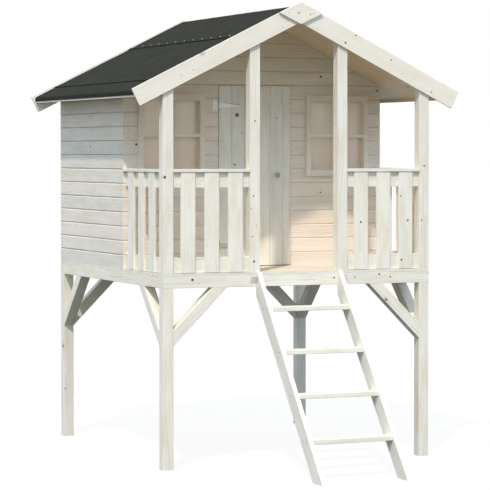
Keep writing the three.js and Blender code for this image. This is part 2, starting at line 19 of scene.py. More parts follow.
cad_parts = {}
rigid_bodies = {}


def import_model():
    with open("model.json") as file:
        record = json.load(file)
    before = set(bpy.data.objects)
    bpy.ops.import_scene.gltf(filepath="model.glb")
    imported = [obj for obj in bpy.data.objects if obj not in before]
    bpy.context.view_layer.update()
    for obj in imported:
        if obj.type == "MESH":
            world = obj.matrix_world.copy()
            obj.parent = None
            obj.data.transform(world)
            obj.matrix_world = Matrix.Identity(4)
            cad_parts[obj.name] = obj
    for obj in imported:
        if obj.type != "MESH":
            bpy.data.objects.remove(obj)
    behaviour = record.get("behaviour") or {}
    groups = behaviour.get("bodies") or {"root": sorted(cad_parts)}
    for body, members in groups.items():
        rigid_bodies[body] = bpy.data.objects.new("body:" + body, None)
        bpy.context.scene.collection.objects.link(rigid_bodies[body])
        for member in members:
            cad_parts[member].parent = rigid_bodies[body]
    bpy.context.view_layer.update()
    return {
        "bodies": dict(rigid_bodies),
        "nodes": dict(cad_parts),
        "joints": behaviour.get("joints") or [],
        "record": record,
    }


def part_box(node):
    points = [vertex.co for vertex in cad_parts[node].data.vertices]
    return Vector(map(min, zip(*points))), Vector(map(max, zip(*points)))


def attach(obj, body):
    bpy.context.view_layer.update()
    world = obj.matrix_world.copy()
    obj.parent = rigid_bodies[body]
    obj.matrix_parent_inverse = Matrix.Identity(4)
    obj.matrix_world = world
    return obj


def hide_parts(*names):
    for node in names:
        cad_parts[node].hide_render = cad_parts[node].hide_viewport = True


LOG = logging.getLogger("playhouse")

Place = tuple[float, float, float]
Span = tuple[float, float]
Colour = tuple[float, float, float]
Piece = bpy.types.Object
Material = bpy.types.Material
Tree = bpy.types.NodeTree
Node = bpy.types.Node
Socket = bpy.types.NodeSocket
Input = Union[float, int, Colour, Vector, Socket]
Inputs = dict[Union[str, int], Input]
Face = bpy.types.MeshPolygon
Element = Union[bpy.types.MeshVertex, bpy.types.MeshEdge, bpy.types.MeshPolygon]
Reach = Union[Span, float]

HOUSE_BODY = "house"
DOOR_BODY = "door"
ROOF_PITCH = 26.3  # degrees
LADDER_SLOPE = 51.5  # degrees
NATURAL_SCALE = 1.0
NO_SHIFT = (0.0, 0.0, 0.0)


def srgb(red: int, green: int, blue: int) -> Colour:
    """Turns a display colour into the linear one that shaders take.

    Args:
        red: Red as displayed, 0 to 255.
        green: Green as displayed, 0 to 255.
        blue: Blue as displayed, 0 to 255.

    Returns:
        The linear colour.
    """

    def linear(value: int) -> float:
        """Linear light of one display value."""
        share = value / 255
        return share / 12.92 if share <= 0.04045 else ((share + 0.055) / 1.055) ** 2.4

    return linear(red), linear(green), linear(blue)


class Choice(Enum):
    """One of a few, which the names of nodes spell in small letters."""

    @property
    def word(self) -> str:
        """The choice as node names spell it."""
        return self.name.lower()


class Side(Choice):
    """Left or right half of the playhouse, seen from the ladder, with its sign on X."""

    LEFT = -1
    RIGHT = 1


class End(Choice):
    """Front or rear end of the playhouse, with its sign on Y."""

    FRONT = -1
    REAR = 1


class Level(Choice):
    """Upper or lower hinge of the door."""

    UPPER = 1
    LOWER = 2


class Grain(Enum):
    """The way that a piece's wood runs, as the turn in degrees that lays it along X."""

    ACROSS = (0.0, 0.0, 0.0)
    DEEP = (0.0, 0.0, -90.0)
    UPRIGHT = (0.0, 90.0, 0.0)
    ROOF_LEFT = (0.0, ROOF_PITCH, 0.0)
    ROOF_RIGHT = (0.0, -ROOF_PITCH, 0.0)
    BRACE_TO_RIGHT = (0.0, 45.0, 0.0)
    BRACE_TO_LEFT = (0.0, -45.0, 0.0)
    BRACE_TO_REAR = (-45.0, 0.0, -90.0)
    BRACE_TO_FRONT = (45.0, 0.0, -90.0)
    LADDER = (-LADDER_SLOPE, 0.0, -90.0)

    @property
    def turn(self) -> tuple[float, float, float]:
        """The turn in radians."""
        return tuple(math.radians(angle) for angle in self.value)


class Part(Enum):
    """What is picked on a mesh, by the name that edit mode has for it."""

    POINT = "VERT"
    EDGE = "EDGE"
    FACE = "FACE"

    def of(self, mesh: bpy.types.Mesh) -> Iterable[Element]:
        """The points, edges or faces of a mesh."""
        return {Part.POINT: mesh.vertices, Part.EDGE: mesh.edges, Part.FACE: mesh.polygons}[self]


class Graph:
    """A shader node tree that is being written, left to right."""

    def __init__(self, tree: Tree) -> None:
        """Starts writing in the node tree of a material, group or world."""
        self.tree = tree
        self.count = 0

    def node(self, kind: str, inputs: Optional[Inputs] = None, **settings: object) -> Node:
        """Adds a node.

        Args:
            kind: The node's type name.
            inputs: What goes in its inputs, by their names or numbers.
            **settings: Attributes to set on it.

        Returns:
            The node.
        """
        made = self.tree.nodes.new(kind)
        made.location = (self.count * 190, -(self.count % 4) * 160)
        self.count += 1
        for name, setting in settings.items():
            setattr(made, name, setting)
        for name, source in (inputs or {}).items():
            self.feed(made.inputs[name], source)
        return made

    def feed(self, socket: Socket, source: Input) -> None:
        """Connects or sets an input.

        Args:
            socket: The input.
            source: Another node's output, a number or a colour.
        """
        if isinstance(source, Socket):
            self.tree.links.new(source, socket)
        elif isinstance(source, (int, float)):
            socket.default_value = source
        elif len(source) == 3 and len(socket.default_value) == 4:
            socket.default_value = (*source, 1.0)
        else:
            socket.default_value = source

    def math(self, operation: str, *inputs: Input, clamp: bool = False) -> Socket:
        """Result of a Math node, held between 0 and 1 if it is clamped."""
        settings = {"operation": operation, "use_clamp": clamp}
        return self.node("ShaderNodeMath", dict(enumerate(inputs)), **settings).outputs[0]

    def times(self, value: Input, factor: Input) -> Socket:
        """One value times another."""
        return self.math("MULTIPLY", value, factor)

    def line(self, value: Input, slope: Input, start: Input, clamp: bool = False) -> Socket:
        """A value times a slope, plus a start."""
        return self.math("MULTIPLY_ADD", value, slope, start, clamp=clamp)

    def vector(self, operation: str, *inputs: Input) -> Socket:
        """Result of a Vector Math node, a number for a length and else a vector."""
        made = self.node("ShaderNodeVectorMath", dict(enumerate(inputs)), operation=operation)
        return made.outputs["Value" if operation == "LENGTH" else "Vector"]

    def parts(self, vector: Input) -> tuple[Socket, ...]:
        """X, Y and Z of a vector."""
        return tuple(self.node("ShaderNodeSeparateXYZ", {0: vector}).outputs)

    def channels(self, colour: Input) -> tuple[Socket, ...]:
        """Red, green and blue of a colour."""
        return tuple(self.node("ShaderNodeSeparateColor", {0: colour}).outputs)

    def combine(self, x: Input, y: Input, z: Input = 0.0) -> Socket:
        """A vector from three numbers."""
        return self.node("ShaderNodeCombineXYZ", {0: x, 1: y, 2: z}).outputs[0]

    def turned(self, vector: Input, turn: Place) -> Socket:
        """A vector turned by angles in radians."""
        given = {"Vector": vector, "Rotation": turn}
        return self.node("ShaderNodeMapping", given, vector_type="POINT").outputs[0]

    def noise(self, vector: Input, scale: Input, detail: float = 2.0, rough: float = 0.5) -> Socket:
        """A soft random value around one half, with this many octaves of patches per unit."""
        given = {"Vector": vector, "Scale": scale, "Detail": detail, "Roughness": rough}
        return self.node("ShaderNodeTexNoise", given, noise_dimensions="3D").outputs[0]

    def cells(self, vector: Input, scale: Input, dimensions: str) -> Node:
        """A Voronoi node that finds the nearest of scattered points."""
        given = {"Vector": vector, "Scale": scale}
        return self.node("ShaderNodeTexVoronoi", given, voronoi_dimensions=dimensions, feature="F1")

    def fade(self, value: Input, low: Input, high: Input, start: Input = 0.0, end: Input = 1.0) -> Socket:
        """A smooth step from start to end while value goes from low to high."""
        given = dict(enumerate((value, low, high, start, end)))
        return self.node("ShaderNodeMapRange", given, interpolation_type="SMOOTHSTEP", clamp=True).outputs[0]

    def mix(self, share: Input, first: Input, second: Input, blend: str = "MIX") -> Socket:
        """A colour between two, with this share of the second."""
        given = {0: share, 6: first, 7: second}
        return self.node("ShaderNodeMix", given, data_type="RGBA", blend_type=blend).outputs[2]

    def bump(self, height: Input, strength: float, distance: float) -> Socket:
        """A normal from a height."""
        given = {"Strength": strength, "Distance": distance, "Height": height}
        return self.node("ShaderNodeBump", given).outputs["Normal"]

    def group(self, tree: Tree, **inputs: Input) -> Node:
        """Places a node group, with underscores for the spaces in its inputs' names."""
        given = {name.replace("_", " "): source for name, source in inputs.items()}
        return self.node("ShaderNodeGroup", given, node_tree=tree)


class Effects:
    """Node groups that several finishes share, each built once."""

    def __init__(self) -> None:
        """Builds the groups."""
        self.figure = self._figure()
        self.boards = self._boards()
        self.spots = self._spots()
        self.placed = self._placed()

    @staticmethod
    def _start(
        name: str, inputs: Sequence[tuple[str, str]], outputs: Sequence[tuple[str, str]]
    ) -> tuple[Graph, bpy.types.NodeOutputs, bpy.types.NodeInputs]:
        """Makes an empty group.

        Args:
            name: The group's name.
            inputs: Name and socket type of each input.
            outputs: Name and socket type of each output.

        Returns:
            The graph, what the group is given and what it puts out.
        """
        tree = bpy.data.node_groups.new(name, "ShaderNodeTree")
        for way, sockets in (("INPUT", inputs), ("OUTPUT", outputs)):
            for label, kind in sockets:
                tree.interface.new_socket(name=label, in_out=way, socket_type=f"NodeSocket{kind}")
        graph = Graph(tree)
        return graph, graph.node("NodeGroupInput").outputs, graph.node("NodeGroupOutput").inputs

    def _figure(self) -> Tree:
        """Figure of pine that runs along X: streaks, broad bands, knots and pores.

        Returns:
            The group.
        """
        graph, given, out = self._start(
            "Pine figure",
            [("Vector", "Vector"), ("Offset", "Vector"), ("Knot share", "Float"), ("Knot radius", "Float")],
            [(name, "Float") for name in ("Streak", "Band", "Knot", "Halo", "Pores")],
        )
        place = graph.vector("ADD", given["Vector"], given["Offset"])
        along, side, depth = graph.parts(place)
        across = graph.math("ADD", side, depth)
        knot, halo, off_across = self._figure_knots(graph, given, place, along, across)

        def drawn_out(way: Input, length: float, width: float, detail: float) -> Socket:
            """Noise with this many patches per metre along the wood and across it."""
            spot = graph.combine(graph.times(along, length), graph.times(way, width))
            return graph.noise(spot, NATURAL_SCALE, detail, rough=0.6)

        push = graph.times(graph.times(halo, 0.75), off_across)
        sway = drawn_out(across, length=0.8, width=5.0, detail=1.0)
        bent = graph.math("SUBTRACT", graph.line(sway, 0.05, across), push)
        patch = graph.fade(drawn_out(across, length=1.3, width=16.0, detail=2.0), low=0.45, high=0.62)
        fine = graph.fade(drawn_out(bent, length=1.6, width=150.0, detail=4.0), low=0.4, high=0.75)
        coarse = graph.fade(drawn_out(bent, length=1.4, width=50.0, detail=2.0), low=0.5, high=0.72)
        ring_spacing = 0.021
        ring = graph.line(drawn_out(across, length=1.6, width=4.0, detail=1.0), 0.09, bent)
        wave = graph.math("SINE", graph.times(ring, 2 * math.pi / ring_spacing))
        lines = graph.times(graph.fade(wave, low=0.35, high=1.0), patch)
        plain_wood = graph.times(graph.math("ADD", fine, coarse), graph.line(patch, 0.2, 0.12))
        pore_length, pore_width = 60.0, 1100.0
        pores = graph.combine(graph.times(along, pore_length), graph.times(bent, pore_width))
        graph.feed(out["Streak"], graph.line(lines, 0.55, plain_wood, clamp=True))
        graph.feed(out["Band"], drawn_out(across, length=3.5, width=13.0, detail=3.0))
        graph.feed(out["Knot"], knot)
        graph.feed(out["Halo"], halo)
        graph.feed(out["Pores"], graph.noise(pores, NATURAL_SCALE))
        return graph.tree

    @staticmethod
    def _figure_knots(
        graph: Graph, given: bpy.types.NodeOutputs, place: Socket, along: Socket, across: Socket
    ) -> tuple[Socket, Socket, Socket]:
        """Knots scattered in the wood, of all sizes and more or less dark.

        Args:
            graph: The graph that they are added to.
            given: What the group is given.
            place: Place in the wood.
            along: Place along the wood.
            across: Place across it.

        Returns:
            The knots' hearts, the wood round them, and the distance to the nearest one across the wood.
        """
        cell_length, cell_width = 0.31, 0.085
        long_share = 0.8
        heart_share, halo_share = 0.7, 3.2
        cell_along = graph.math("DIVIDE", along, cell_length)
        cells = graph.combine(cell_along, graph.math("DIVIDE", across, cell_width))
        nearest = graph.cells(cells, NATURAL_SCALE, "2D")
        offset = graph.vector("SUBTRACT", cells, nearest.outputs["Position"])
        offset = graph.vector("MULTIPLY", offset, (cell_length, cell_width, 0.0))
        off_along, off_across, _ = graph.parts(offset)
        distance = graph.vector("LENGTH", graph.combine(graph.times(off_along, long_share), off_across))
        chance, size, shade = graph.channels(nearest.outputs["Color"])
        present = graph.math("LESS_THAN", chance, given["Knot share"])
        mostly_small = graph.line(graph.math("POWER", size, 3.0), 1.5, 0.4)
        radius = graph.times(given["Knot radius"], mostly_small)
        ragged = graph.line(graph.noise(place, scale=160.0), 0.7, 0.65)
        edge = graph.times(distance, ragged)
        inner = graph.times(radius, heart_share)
        core = graph.fade(edge, inner, radius, start=1.0, end=0.0)
        knot = graph.times(graph.times(core, present), graph.line(shade, 0.4, 0.6))
        round_it = graph.fade(edge, inner, graph.times(radius, halo_share), start=1.0, end=0.0)
        return knot, graph.times(round_it, present), off_across

    def _boards(self) -> Tree:
        """Tells boards laid edge to edge apart.

        Returns:
            The group.
        """
        graph, given, out = self._start(
            "Separate boards",
            [(name, "Float") for name in ("Across", "Facing", "Start", "Cover", "Seam")],
            [("Offset", "Vector"), ("Tone", "Float"), ("Seam", "Float")],
        )
        edge_on = 0.9
        dark_share = 0.4
        spread = (9.0, 9.0, 9.0)
        count = graph.math("DIVIDE", graph.math("SUBTRACT", given["Across"], given["Start"]), given["Cover"])
        number = graph.math("FLOOR", count)
        seed = graph.line(number, 1.37, 0.21)
        random = graph.node("ShaderNodeTexWhiteNoise", {"W": seed}, noise_dimensions="1D")
        share = graph.math("SUBTRACT", count, number)
        near = graph.math("MINIMUM", share, graph.math("SUBTRACT", 1.0, share))
        distance = graph.times(near, given["Cover"])
        seam = graph.fade(distance, graph.times(given["Seam"], dark_share), given["Seam"], start=1.0, end=0.0)
        outside = graph.math("LESS_THAN", graph.math("ABSOLUTE", given["Facing"]), edge_on)
        graph.feed(out["Offset"], graph.vector("MULTIPLY", random.outputs["Color"], spread))
        graph.feed(out["Tone"], random.outputs["Value"])
        graph.feed(out["Seam"], graph.times(seam, outside))
        return graph.tree

    def _spots(self) -> Tree:
        """Fine granules and broad mottling.

        Returns:
            The group.
        """
        graph, given, out = self._start(
            "Granules and mottling",
            [("Vector", "Vector"), ("Granules", "Float"), ("Patches", "Float")],
            [("Granule", "Float"), ("Patch", "Float")],
        )
        grains = graph.cells(given["Vector"], given["Granules"], "3D")
        graph.feed(out["Granule"], graph.channels(grains.outputs["Color"])[0])
        graph.feed(out["Patch"], graph.noise(given["Vector"], given["Patches"], detail=4.0))
        return graph.tree

    def _placed(self) -> Tree:
        """A knot at a given place.

        Returns:
            The group.
        """
        graph, given, out = self._start(
            "Knot at a place",
            [("Vector", "Vector"), ("Centre", "Vector"), ("Radius", "Float")],
            [("Core", "Float"), ("Ring", "Float")],
        )
        heart_share, core_share, ring_share = 1.1, 1.55, 3.0
        distance = graph.vector("LENGTH", graph.vector("SUBTRACT", given["Vector"], given["Centre"]))
        ragged = graph.line(graph.noise(given["Vector"], scale=150.0, detail=1.0), 0.7, 0.65)
        edge = graph.times(distance, ragged)
        inner = graph.times(given["Radius"], heart_share)
        for name, share in (("Core", core_share), ("Ring", ring_share)):
            graph.feed(out[name], graph.fade(edge, inner, graph.times(given["Radius"], share), 1.0, 0.0))
        return graph.tree


@dataclass(frozen=True)
class Knot:
    """A knot at a set place on a face.

    Attributes:
        along: Where it is on the face's first axis.
        height: Where it is on the second.
        radius: Its radius.
        depth: How dark its heart is.
    """

    along: float
    height: float
    radius: float
    depth: float = 1.0


@dataclass(frozen=True)
class Knots:
    """The set knots of one piece.

    Attributes:
        label: Which piece they are on.
        knots: The knots.
        axes: The face's two axes, X and Z on a front face.
    """

    label: str
    knots: tuple[Knot, ...]
    axes: tuple[int, int] = (0, 2)

    def mapped(self, first: float, second: float) -> Place:
        """Two numbers, each on its axis of the face."""
        return tuple({self.axes[0]: first, self.axes[1]: second}.get(axis, 0.0) for axis in range(3))


KNOTS = {
    "porch_post_corner_left": Knots("left corner post", (Knot(-0.923, 1.841, 0.0065),)),
    "porch_post_inner_left": Knots(
        "left inner post",
        (
            Knot(-0.309, 2.197, 0.0036),
            Knot(-0.319, 1.719, 0.0034),
            Knot(-0.334, 1.637, 0.0030, 0.7),
            Knot(-0.298, 1.532, 0.0028, 0.7),
            Knot(-0.326, 1.462, 0.0030),
            Knot(-0.315, 1.303, 0.0046),
        ),
    ),
    "porch_post_corner_right": Knots("right corner post", (Knot(0.902, 1.908, 0.0042),)),
    "beam_front": Knots(
        "front beam",
        (
            Knot(-0.737, 1.195, 0.006),
            Knot(0.248, 1.188, 0.0042),
            Knot(0.397, 1.191, 0.0034),
            Knot(0.573, 1.204, 0.0044),
            Knot(0.654, 1.185, 0.0036),
        ),
    ),
    "railing_front_right": Knots(
        "right railing", (Knot(0.44, 1.545, 0.0046), Knot(0.729, 1.711, 0.0034), Knot(0.734, 1.295, 0.0046))
    ),
    "bargeboard_front_left": Knots(
        "left bargeboard",
        (
            Knot(-0.678, 2.624, 0.012, 0.25),
            Knot(-0.97, 2.487, 0.004, 0.4),
            Knot(-0.583, 2.703, 0.004, 0.4),
        ),
    ),
    "bargeboard_front_right": Knots(
        "right bargeboard",
        (
            Knot(0.32, 2.703, 0.0046),
            Knot(0.393, 2.752, 0.0034),
            Knot(0.648, 2.597, 0.0036),
            Knot(0.943, 2.392, 0.004, 0.7),
        ),
    ),
    "apex_plate": Knots("apex plate", (Knot(-0.018, 2.886, 0.0044, 0.7), Knot(0.064, 2.879, 0.0034, 0.7))),
    "door_leaf": Knots(
        "door",
        (
            Knot(-0.128, 2.246, 0.0095, 0.9),
            Knot(-0.145, 1.915, 0.0042),
            Knot(-0.094, 2.124, 0.0036, 0.5),
            Knot(0.162, 2.226, 0.0036, 0.5),
        ),
    ),
    "wall_front": Knots(
        "front wall",
        (
            Knot(0.488, 2.509, 0.005),
            Knot(0.577, 2.034, 0.004),
            Knot(0.914, 2.419, 0.0048),
            Knot(0.487, 1.726, 0.0036),
            Knot(-0.844, 2.049, 0.005),
        ),
    ),
    "wall_left": Knots("left wall", (Knot(0.857, 2.036, 0.0044),), axes=(1, 2)),
    "roof_panel_right": Knots("right roof boards", (Knot(0.963, -0.158, 0.009),), axes=(0, 1)),
}


@dataclass(frozen=True)
class Boarding:
    """How boards are laid edge to edge on a piece.

    Attributes:
        axis: The way in which the boards follow each other once their wood lies along X: 1 is Y, 2 is Z.
        start: Where one of the joints lies on that axis.
        cover: Width that each board covers.
        seam: Half width of the dark line in a joint.
    """

    axis: int
    start: float
    cover: float = 0.0936
    seam: float = 0.0017


@dataclass(frozen=True)
class PineFinish:
    """Pine and what it is coated with.

    Attributes:
        name: The finish's name.
        slot: The record's material slot.
        body: Colour of the wood.
        streak: Colour of its darker lines.
        band: Colour of its broad darker bands.
        knot: Colour of a knot's heart.
        halo: Colour round a knot.
        knot_share: Share of the places in a timber that hold a knot.
        board_knot_share: The same in thin boards.
        beside_set: How many of these stay on a piece that has knots at set places.
        knot_radius: Usual radius of a knot.
        streaks: How strongly the lines show.
        halos: How strongly the wood round a knot shows.
        hearts: How strongly a knot's heart shows.
        dullest: What the dullest board is multiplied with.
        brightest: What the brightest board is multiplied with.
        joint: Colour of the line in a joint.
        joints: How strongly these lines show.
        roughness: Roughness of the clear wood.
        relief: Depth of its pores and lines.
        washed: Strength of the painted light that makes it paler near the deck and of the painted shade that
            makes it darker near the roof, standing in for light that falls off under the porch roof.
        wash_heights: Between which heights the painted light turns into the painted shade.
        wash_low: What the painted light adds to the colour near the deck.
        wash_high: What the painted shade adds near the roof.
    """

    name: str
    slot: str
    body: Colour
    streak: Colour
    band: Colour
    knot: Colour
    halo: Colour
    knot_share: float = 0.1
    board_knot_share: float = 0.22
    beside_set: float = 0.3
    knot_radius: float = 0.0068
    streaks: float = 0.75
    halos: float = 0.4
    hearts: float = 0.97
    dullest: Colour = (0.925, 0.965, 0.975)
    brightest: Colour = (1.03, 1.01, 0.985)
    joint: Colour = srgb(84, 76, 64)
    joints: float = 0.85
    roughness: float = 0.62
    relief: float = 0.0004
    washed: float = 0.0
    wash_heights: Span = (1.4, 2.5)
    wash_low: Colour = (0.0, 0.1, 0.8)
    wash_high: Colour = (-1.2, -1.3, -1.5)

    def wash(self, added: Colour) -> Colour:
        """What the colour is multiplied with where the painted light and shade add this much."""
        return tuple(1 + share * self.washed for share in added)


GLAZED = PineFinish(
    name="glazed pine",
    slot="glazed_pine",
    body=srgb(247, 245, 239),
    streak=srgb(206, 196, 174),
    band=srgb(238, 233, 219),
    knot=srgb(48, 38, 28),
    halo=srgb(204, 192, 166),
    streaks=0.62,
)
PALE = replace(
    GLAZED, name="pale glazed pine", body=srgb(249, 246, 239), streaks=0.2, knot_share=0.12, knot_radius=0.005
)
# Painted shade: a darker copy of the glaze, standing in for less light, for the side walls and the outer
# faces of the eave laths.
GLAZE_PAINTED_SHADE = replace(GLAZED, name="wall pine", body=srgb(236, 234, 229), band=srgb(228, 223, 212), streaks=0.5)
# Painted highlight: a white copy of the pale glaze for the rear bargeboards' forward faces, standing in for
# the sun on them.
PAINTED_SUNLIT = replace(
    PALE, name="bleached pine", body=srgb(255, 255, 252), band=srgb(250, 249, 243), knot_share=0.0
)
PORCH = PineFinish(
    name="thinly glazed pine",
    slot="glazed_pine",
    body=srgb(247, 239, 229),
    streak=srgb(214, 197, 172),
    band=srgb(241, 230, 214),
    knot=srgb(52, 40, 30),
    halo=srgb(206, 190, 160),
    streaks=0.62,
    board_knot_share=0.1,
    # Painted light at the wall's foot and painted shade under the porch roof.
    washed=0.05,
)
# The window joinery carries stronger painted light at its foot and painted shade at its top.
JOINERY = replace(
    PORCH, name="window joinery pine", body=srgb(252, 243, 231), streaks=0.25, knot_share=0.0, washed=0.09
)
NATURAL = PineFinish(
    name="natural pine",
    slot="natural_pine",
    body=srgb(246, 231, 206),
    streak=srgb(214, 186, 146),
    band=srgb(234, 212, 178),
    knot=srgb(104, 68, 40),
    halo=srgb(206, 170, 124),
    roughness=0.55,
)
# Pine for the deck's top: paler than the natural pine, warmer and less bright than the glaze on the deck's
# edges.
DECK_TOP = replace(
    NATURAL,
    name="worn deck pine",
    body=srgb(244, 235, 224),
    streak=srgb(212, 190, 162),
    band=srgb(233, 217, 195),
)
# Painted shade: the roof boards take a darker copy of the natural pine, standing in for the dim light under
# the roof.
ROOF_PINE_PAINTED_SHADE = replace(
    NATURAL,
    name="roof board pine",
    body=srgb(228, 212, 188),
    band=srgb(222, 203, 176),
    streaks=0.3,
    board_knot_share=0.1,
)
LADDER = replace(PALE, name="ladder pine", body=srgb(247, 245, 241), band=srgb(238, 236, 229), streaks=0.24)
TRIM = replace(PALE, name="trim pine", body=srgb(250, 245, 236), band=srgb(246, 238, 226), streaks=0.3)
TURNED = PineFinish(
    name="turned pine",
    slot="knob_wood",
    body=srgb(190, 180, 156),
    streak=srgb(158, 144, 118),
    band=srgb(176, 164, 140),
    knot=srgb(120, 84, 52),
    halo=srgb(170, 140, 100),
    knot_share=0.0,
    roughness=0.38,
)


@dataclass(frozen=True)
class SpottedFinish:
    """A sheet material with fine granules and broad patches.

    Attributes:
        name: The finish's name.
        body: Its colour.
        other: The colour that its granules or patches go to.
        granules: Granules per metre.
        patches: Patches per metre.
        roughness: Its least roughness.
        uneven: How much rougher it is in places.
        relief: Depth of its granules or dents.
    """

    name: str
    body: Colour
    other: Colour
    granules: float
    patches: float
    roughness: float
    uneven: float
    relief: float = 0.0


FELT = SpottedFinish(
    name="roofing felt",
    body=srgb(22, 25, 21),
    other=srgb(43, 47, 41),
    granules=420.0,
    patches=14.0,
    roughness=0.8,
    uneven=0.15,
    relief=0.0006,
)
STEEL = SpottedFinish(
    name="galvanised steel",
    body=srgb(190, 191, 188),
    other=(0.86, 0.86, 0.86),
    granules=170.0,
    patches=38.0,
    roughness=0.3,
    uneven=0.22,
    relief=0.0004,
)
BRACKET_ZINC = replace(STEEL, name="bracket zinc", body=srgb(222, 219, 214))
# Painted light: the pane's warm tint stands in for the lit room seen through the window.
ACRYLIC = SpottedFinish(
    name="acrylic sheet",
    body=srgb(236, 213, 188),
    other=srgb(244, 226, 204),
    granules=400.0,
    patches=9.0,
    roughness=0.12,
    uneven=0.1,
)


class Finishes:
    """Makes and keeps every material of the playhouse."""

    def __init__(self, effects: Effects) -> None:
        """Starts with no material made, and with the node groups that they share."""
        self.effects = effects
        self.made: dict[str, Material] = {}

    def _kept(self, name: str, write: Callable[[Graph, bpy.types.NodeInputs, Socket], None]) -> Material:
        """The material of a name, which is written when it is first asked for.

        Args:
            name: The material's name.
            write: Writes it, given its graph, its shader's inputs and the Object coordinates.

        Returns:
            The material.
        """
        if name not in self.made:
            material = bpy.data.materials.new(name)
            material.use_nodes = True
            material.node_tree.nodes.clear()
            graph = Graph(material.node_tree)
            place = graph.node("ShaderNodeTexCoord").outputs["Object"]
            shader = graph.node("ShaderNodeBsdfPrincipled")
            graph.node("ShaderNodeOutputMaterial", {"Surface": shader.outputs[0]})
            write(graph, shader.inputs, place)
            self.made[name] = material
        return self.made[name]

    def pine(
        self,
        finish: PineFinish,
        grain: Grain,
        boarding: Optional[Boarding] = None,
        knots: Optional[Knots] = None,
    ) -> Material:
        """Pine that runs one way, whole or in boards.

        Args:
            finish: Colour and coat.
            grain: The way that the wood runs.
            boarding: How it is split in boards, if it is.
            knots: Its knots at set places, if it has any.

        Returns:
            The material.
        """
        split = f" boards {boarding.axis} {boarding.start:.3f} {boarding.seam:.4f}" if boarding else ""
        owner = f" of the {knots.label}" if knots else ""

        def write(graph: Graph, shader: bpy.types.NodeInputs, place: Socket) -> None:
            """Writes the pine.

            Args:
                graph: The material's graph.
                shader: The shader's inputs.
                place: The Object coordinates.
            """
            offset, tone, seam = self._boarded(graph, place, grain, boarding)
            share = finish.board_knot_share if boarding else finish.knot_share
            figure = graph.group(
                self.effects.figure,
                Vector=graph.turned(place, grain.turn),
                Offset=offset,
                Knot_share=share * (finish.beside_set if knots else 1.0),
                Knot_radius=finish.knot_radius,
            ).outputs
            knot, halo = self._set_knots(graph, place, knots, figure["Knot"], figure["Halo"])
            colour = graph.mix(graph.fade(figure["Band"], low=0.35, high=0.7), finish.body, finish.band)
            colour = graph.mix(graph.times(figure["Streak"], finish.streaks), colour, finish.streak)
            colour = graph.mix(graph.times(halo, finish.halos), colour, finish.halo)
            colour = graph.mix(graph.times(knot, finish.hearts), colour, finish.knot)
            tint = graph.mix(tone, finish.dullest, finish.brightest)
            colour = graph.mix(1.0, colour, tint, "MULTIPLY")
            # Painted light and shade: towards the deck the colour turns paler and bluer, towards the roof
            # darker, standing in for light that falls off under the porch roof.
            if finish.washed:
                rise = graph.fade(graph.parts(place)[2], *finish.wash_heights)
                tint = graph.mix(rise, finish.wash(finish.wash_low), finish.wash(finish.wash_high))
                colour = graph.mix(1.0, colour, tint, "MULTIPLY")
            colour = graph.mix(graph.times(seam, finish.joints), colour, finish.joint)
            graph.feed(shader["Base Color"], colour)
            graph.feed(shader["Roughness"], graph.line(figure["Streak"], 0.12, finish.roughness - 0.05))
            relief = graph.math("SUBTRACT", graph.times(figure["Pores"], 0.5), figure["Streak"])
            relief = graph.math("SUBTRACT", relief, graph.times(seam, 6.0))
            graph.feed(shader["Normal"], graph.bump(relief, 0.35, finish.relief))

        return self._kept(f"{finish.name} {grain.name.lower()}{split}{owner}", write)

    def _boarded(
        self, graph: Graph, place: Socket, grain: Grain, boarding: Optional[Boarding]
    ) -> tuple[Input, Input, Input]:
        """Tells a piece's boards apart, or makes the tone of a whole timber.

        Args:
            graph: The material's graph.
            place: The Object coordinates.
            grain: The way that the wood runs.
            boarding: How it is split in boards, if it is.

        Returns:
            How far the figure is shifted, how bright the wood is and where the joints are.
        """
        laid = graph.turned(place, grain.turn)
        if not boarding:
            slow_change = (0.05, 2.3, 2.3)
            tone = graph.noise(graph.vector("MULTIPLY", laid, slow_change), NATURAL_SCALE, detail=0.0)
            return NO_SHIFT, tone, 0.0
        looks = graph.turned(place.node.outputs["Normal"], grain.turn)
        boards = graph.group(
            self.effects.boards,
            Across=graph.parts(laid)[boarding.axis],
            Facing=graph.parts(looks)[boarding.axis],
            Start=boarding.start,
            Cover=boarding.cover,
            Seam=boarding.seam,
        )
        return tuple(boards.outputs)

    def _set_knots(
        self, graph: Graph, place: Socket, knots: Optional[Knots], knot: Socket, halo: Socket
    ) -> tuple[Socket, Socket]:
        """Adds the knots at set places.

        Args:
            graph: The material's graph.
            place: The Object coordinates.
            knots: The knots, if there are any.
            knot: The hearts of the scattered knots.
            halo: The wood round these.

        Returns:
            The hearts and the wood round them, of all knots.
        """
        if not knots:
            return knot, halo
        flat = graph.vector("MULTIPLY", place, knots.mapped(1.0, 1.0))
        for each in knots.knots:
            centre = knots.mapped(each.along, each.height)
            seen = graph.group(self.effects.placed, Vector=flat, Centre=centre, Radius=each.radius).outputs
            knot = graph.math("MAXIMUM", knot, graph.times(seen["Core"], each.depth))
            halo = graph.math("MAXIMUM", halo, seen["Ring"])
        return knot, halo

    def _spotted(self, finish: SpottedFinish, graph: Graph, place: Socket) -> tuple[Socket, Socket]:
        """Granules and patches of a finish."""
        sizes = {"Granules": finish.granules, "Patches": finish.patches}
        return tuple(graph.group(self.effects.spots, Vector=place, **sizes).outputs)

    def felt(self) -> Material:
        """Bitumen felt with fine mineral granules.

        Returns:
            The material.
        """
        dusty = srgb(43, 48, 41)
        gloss = 0.12

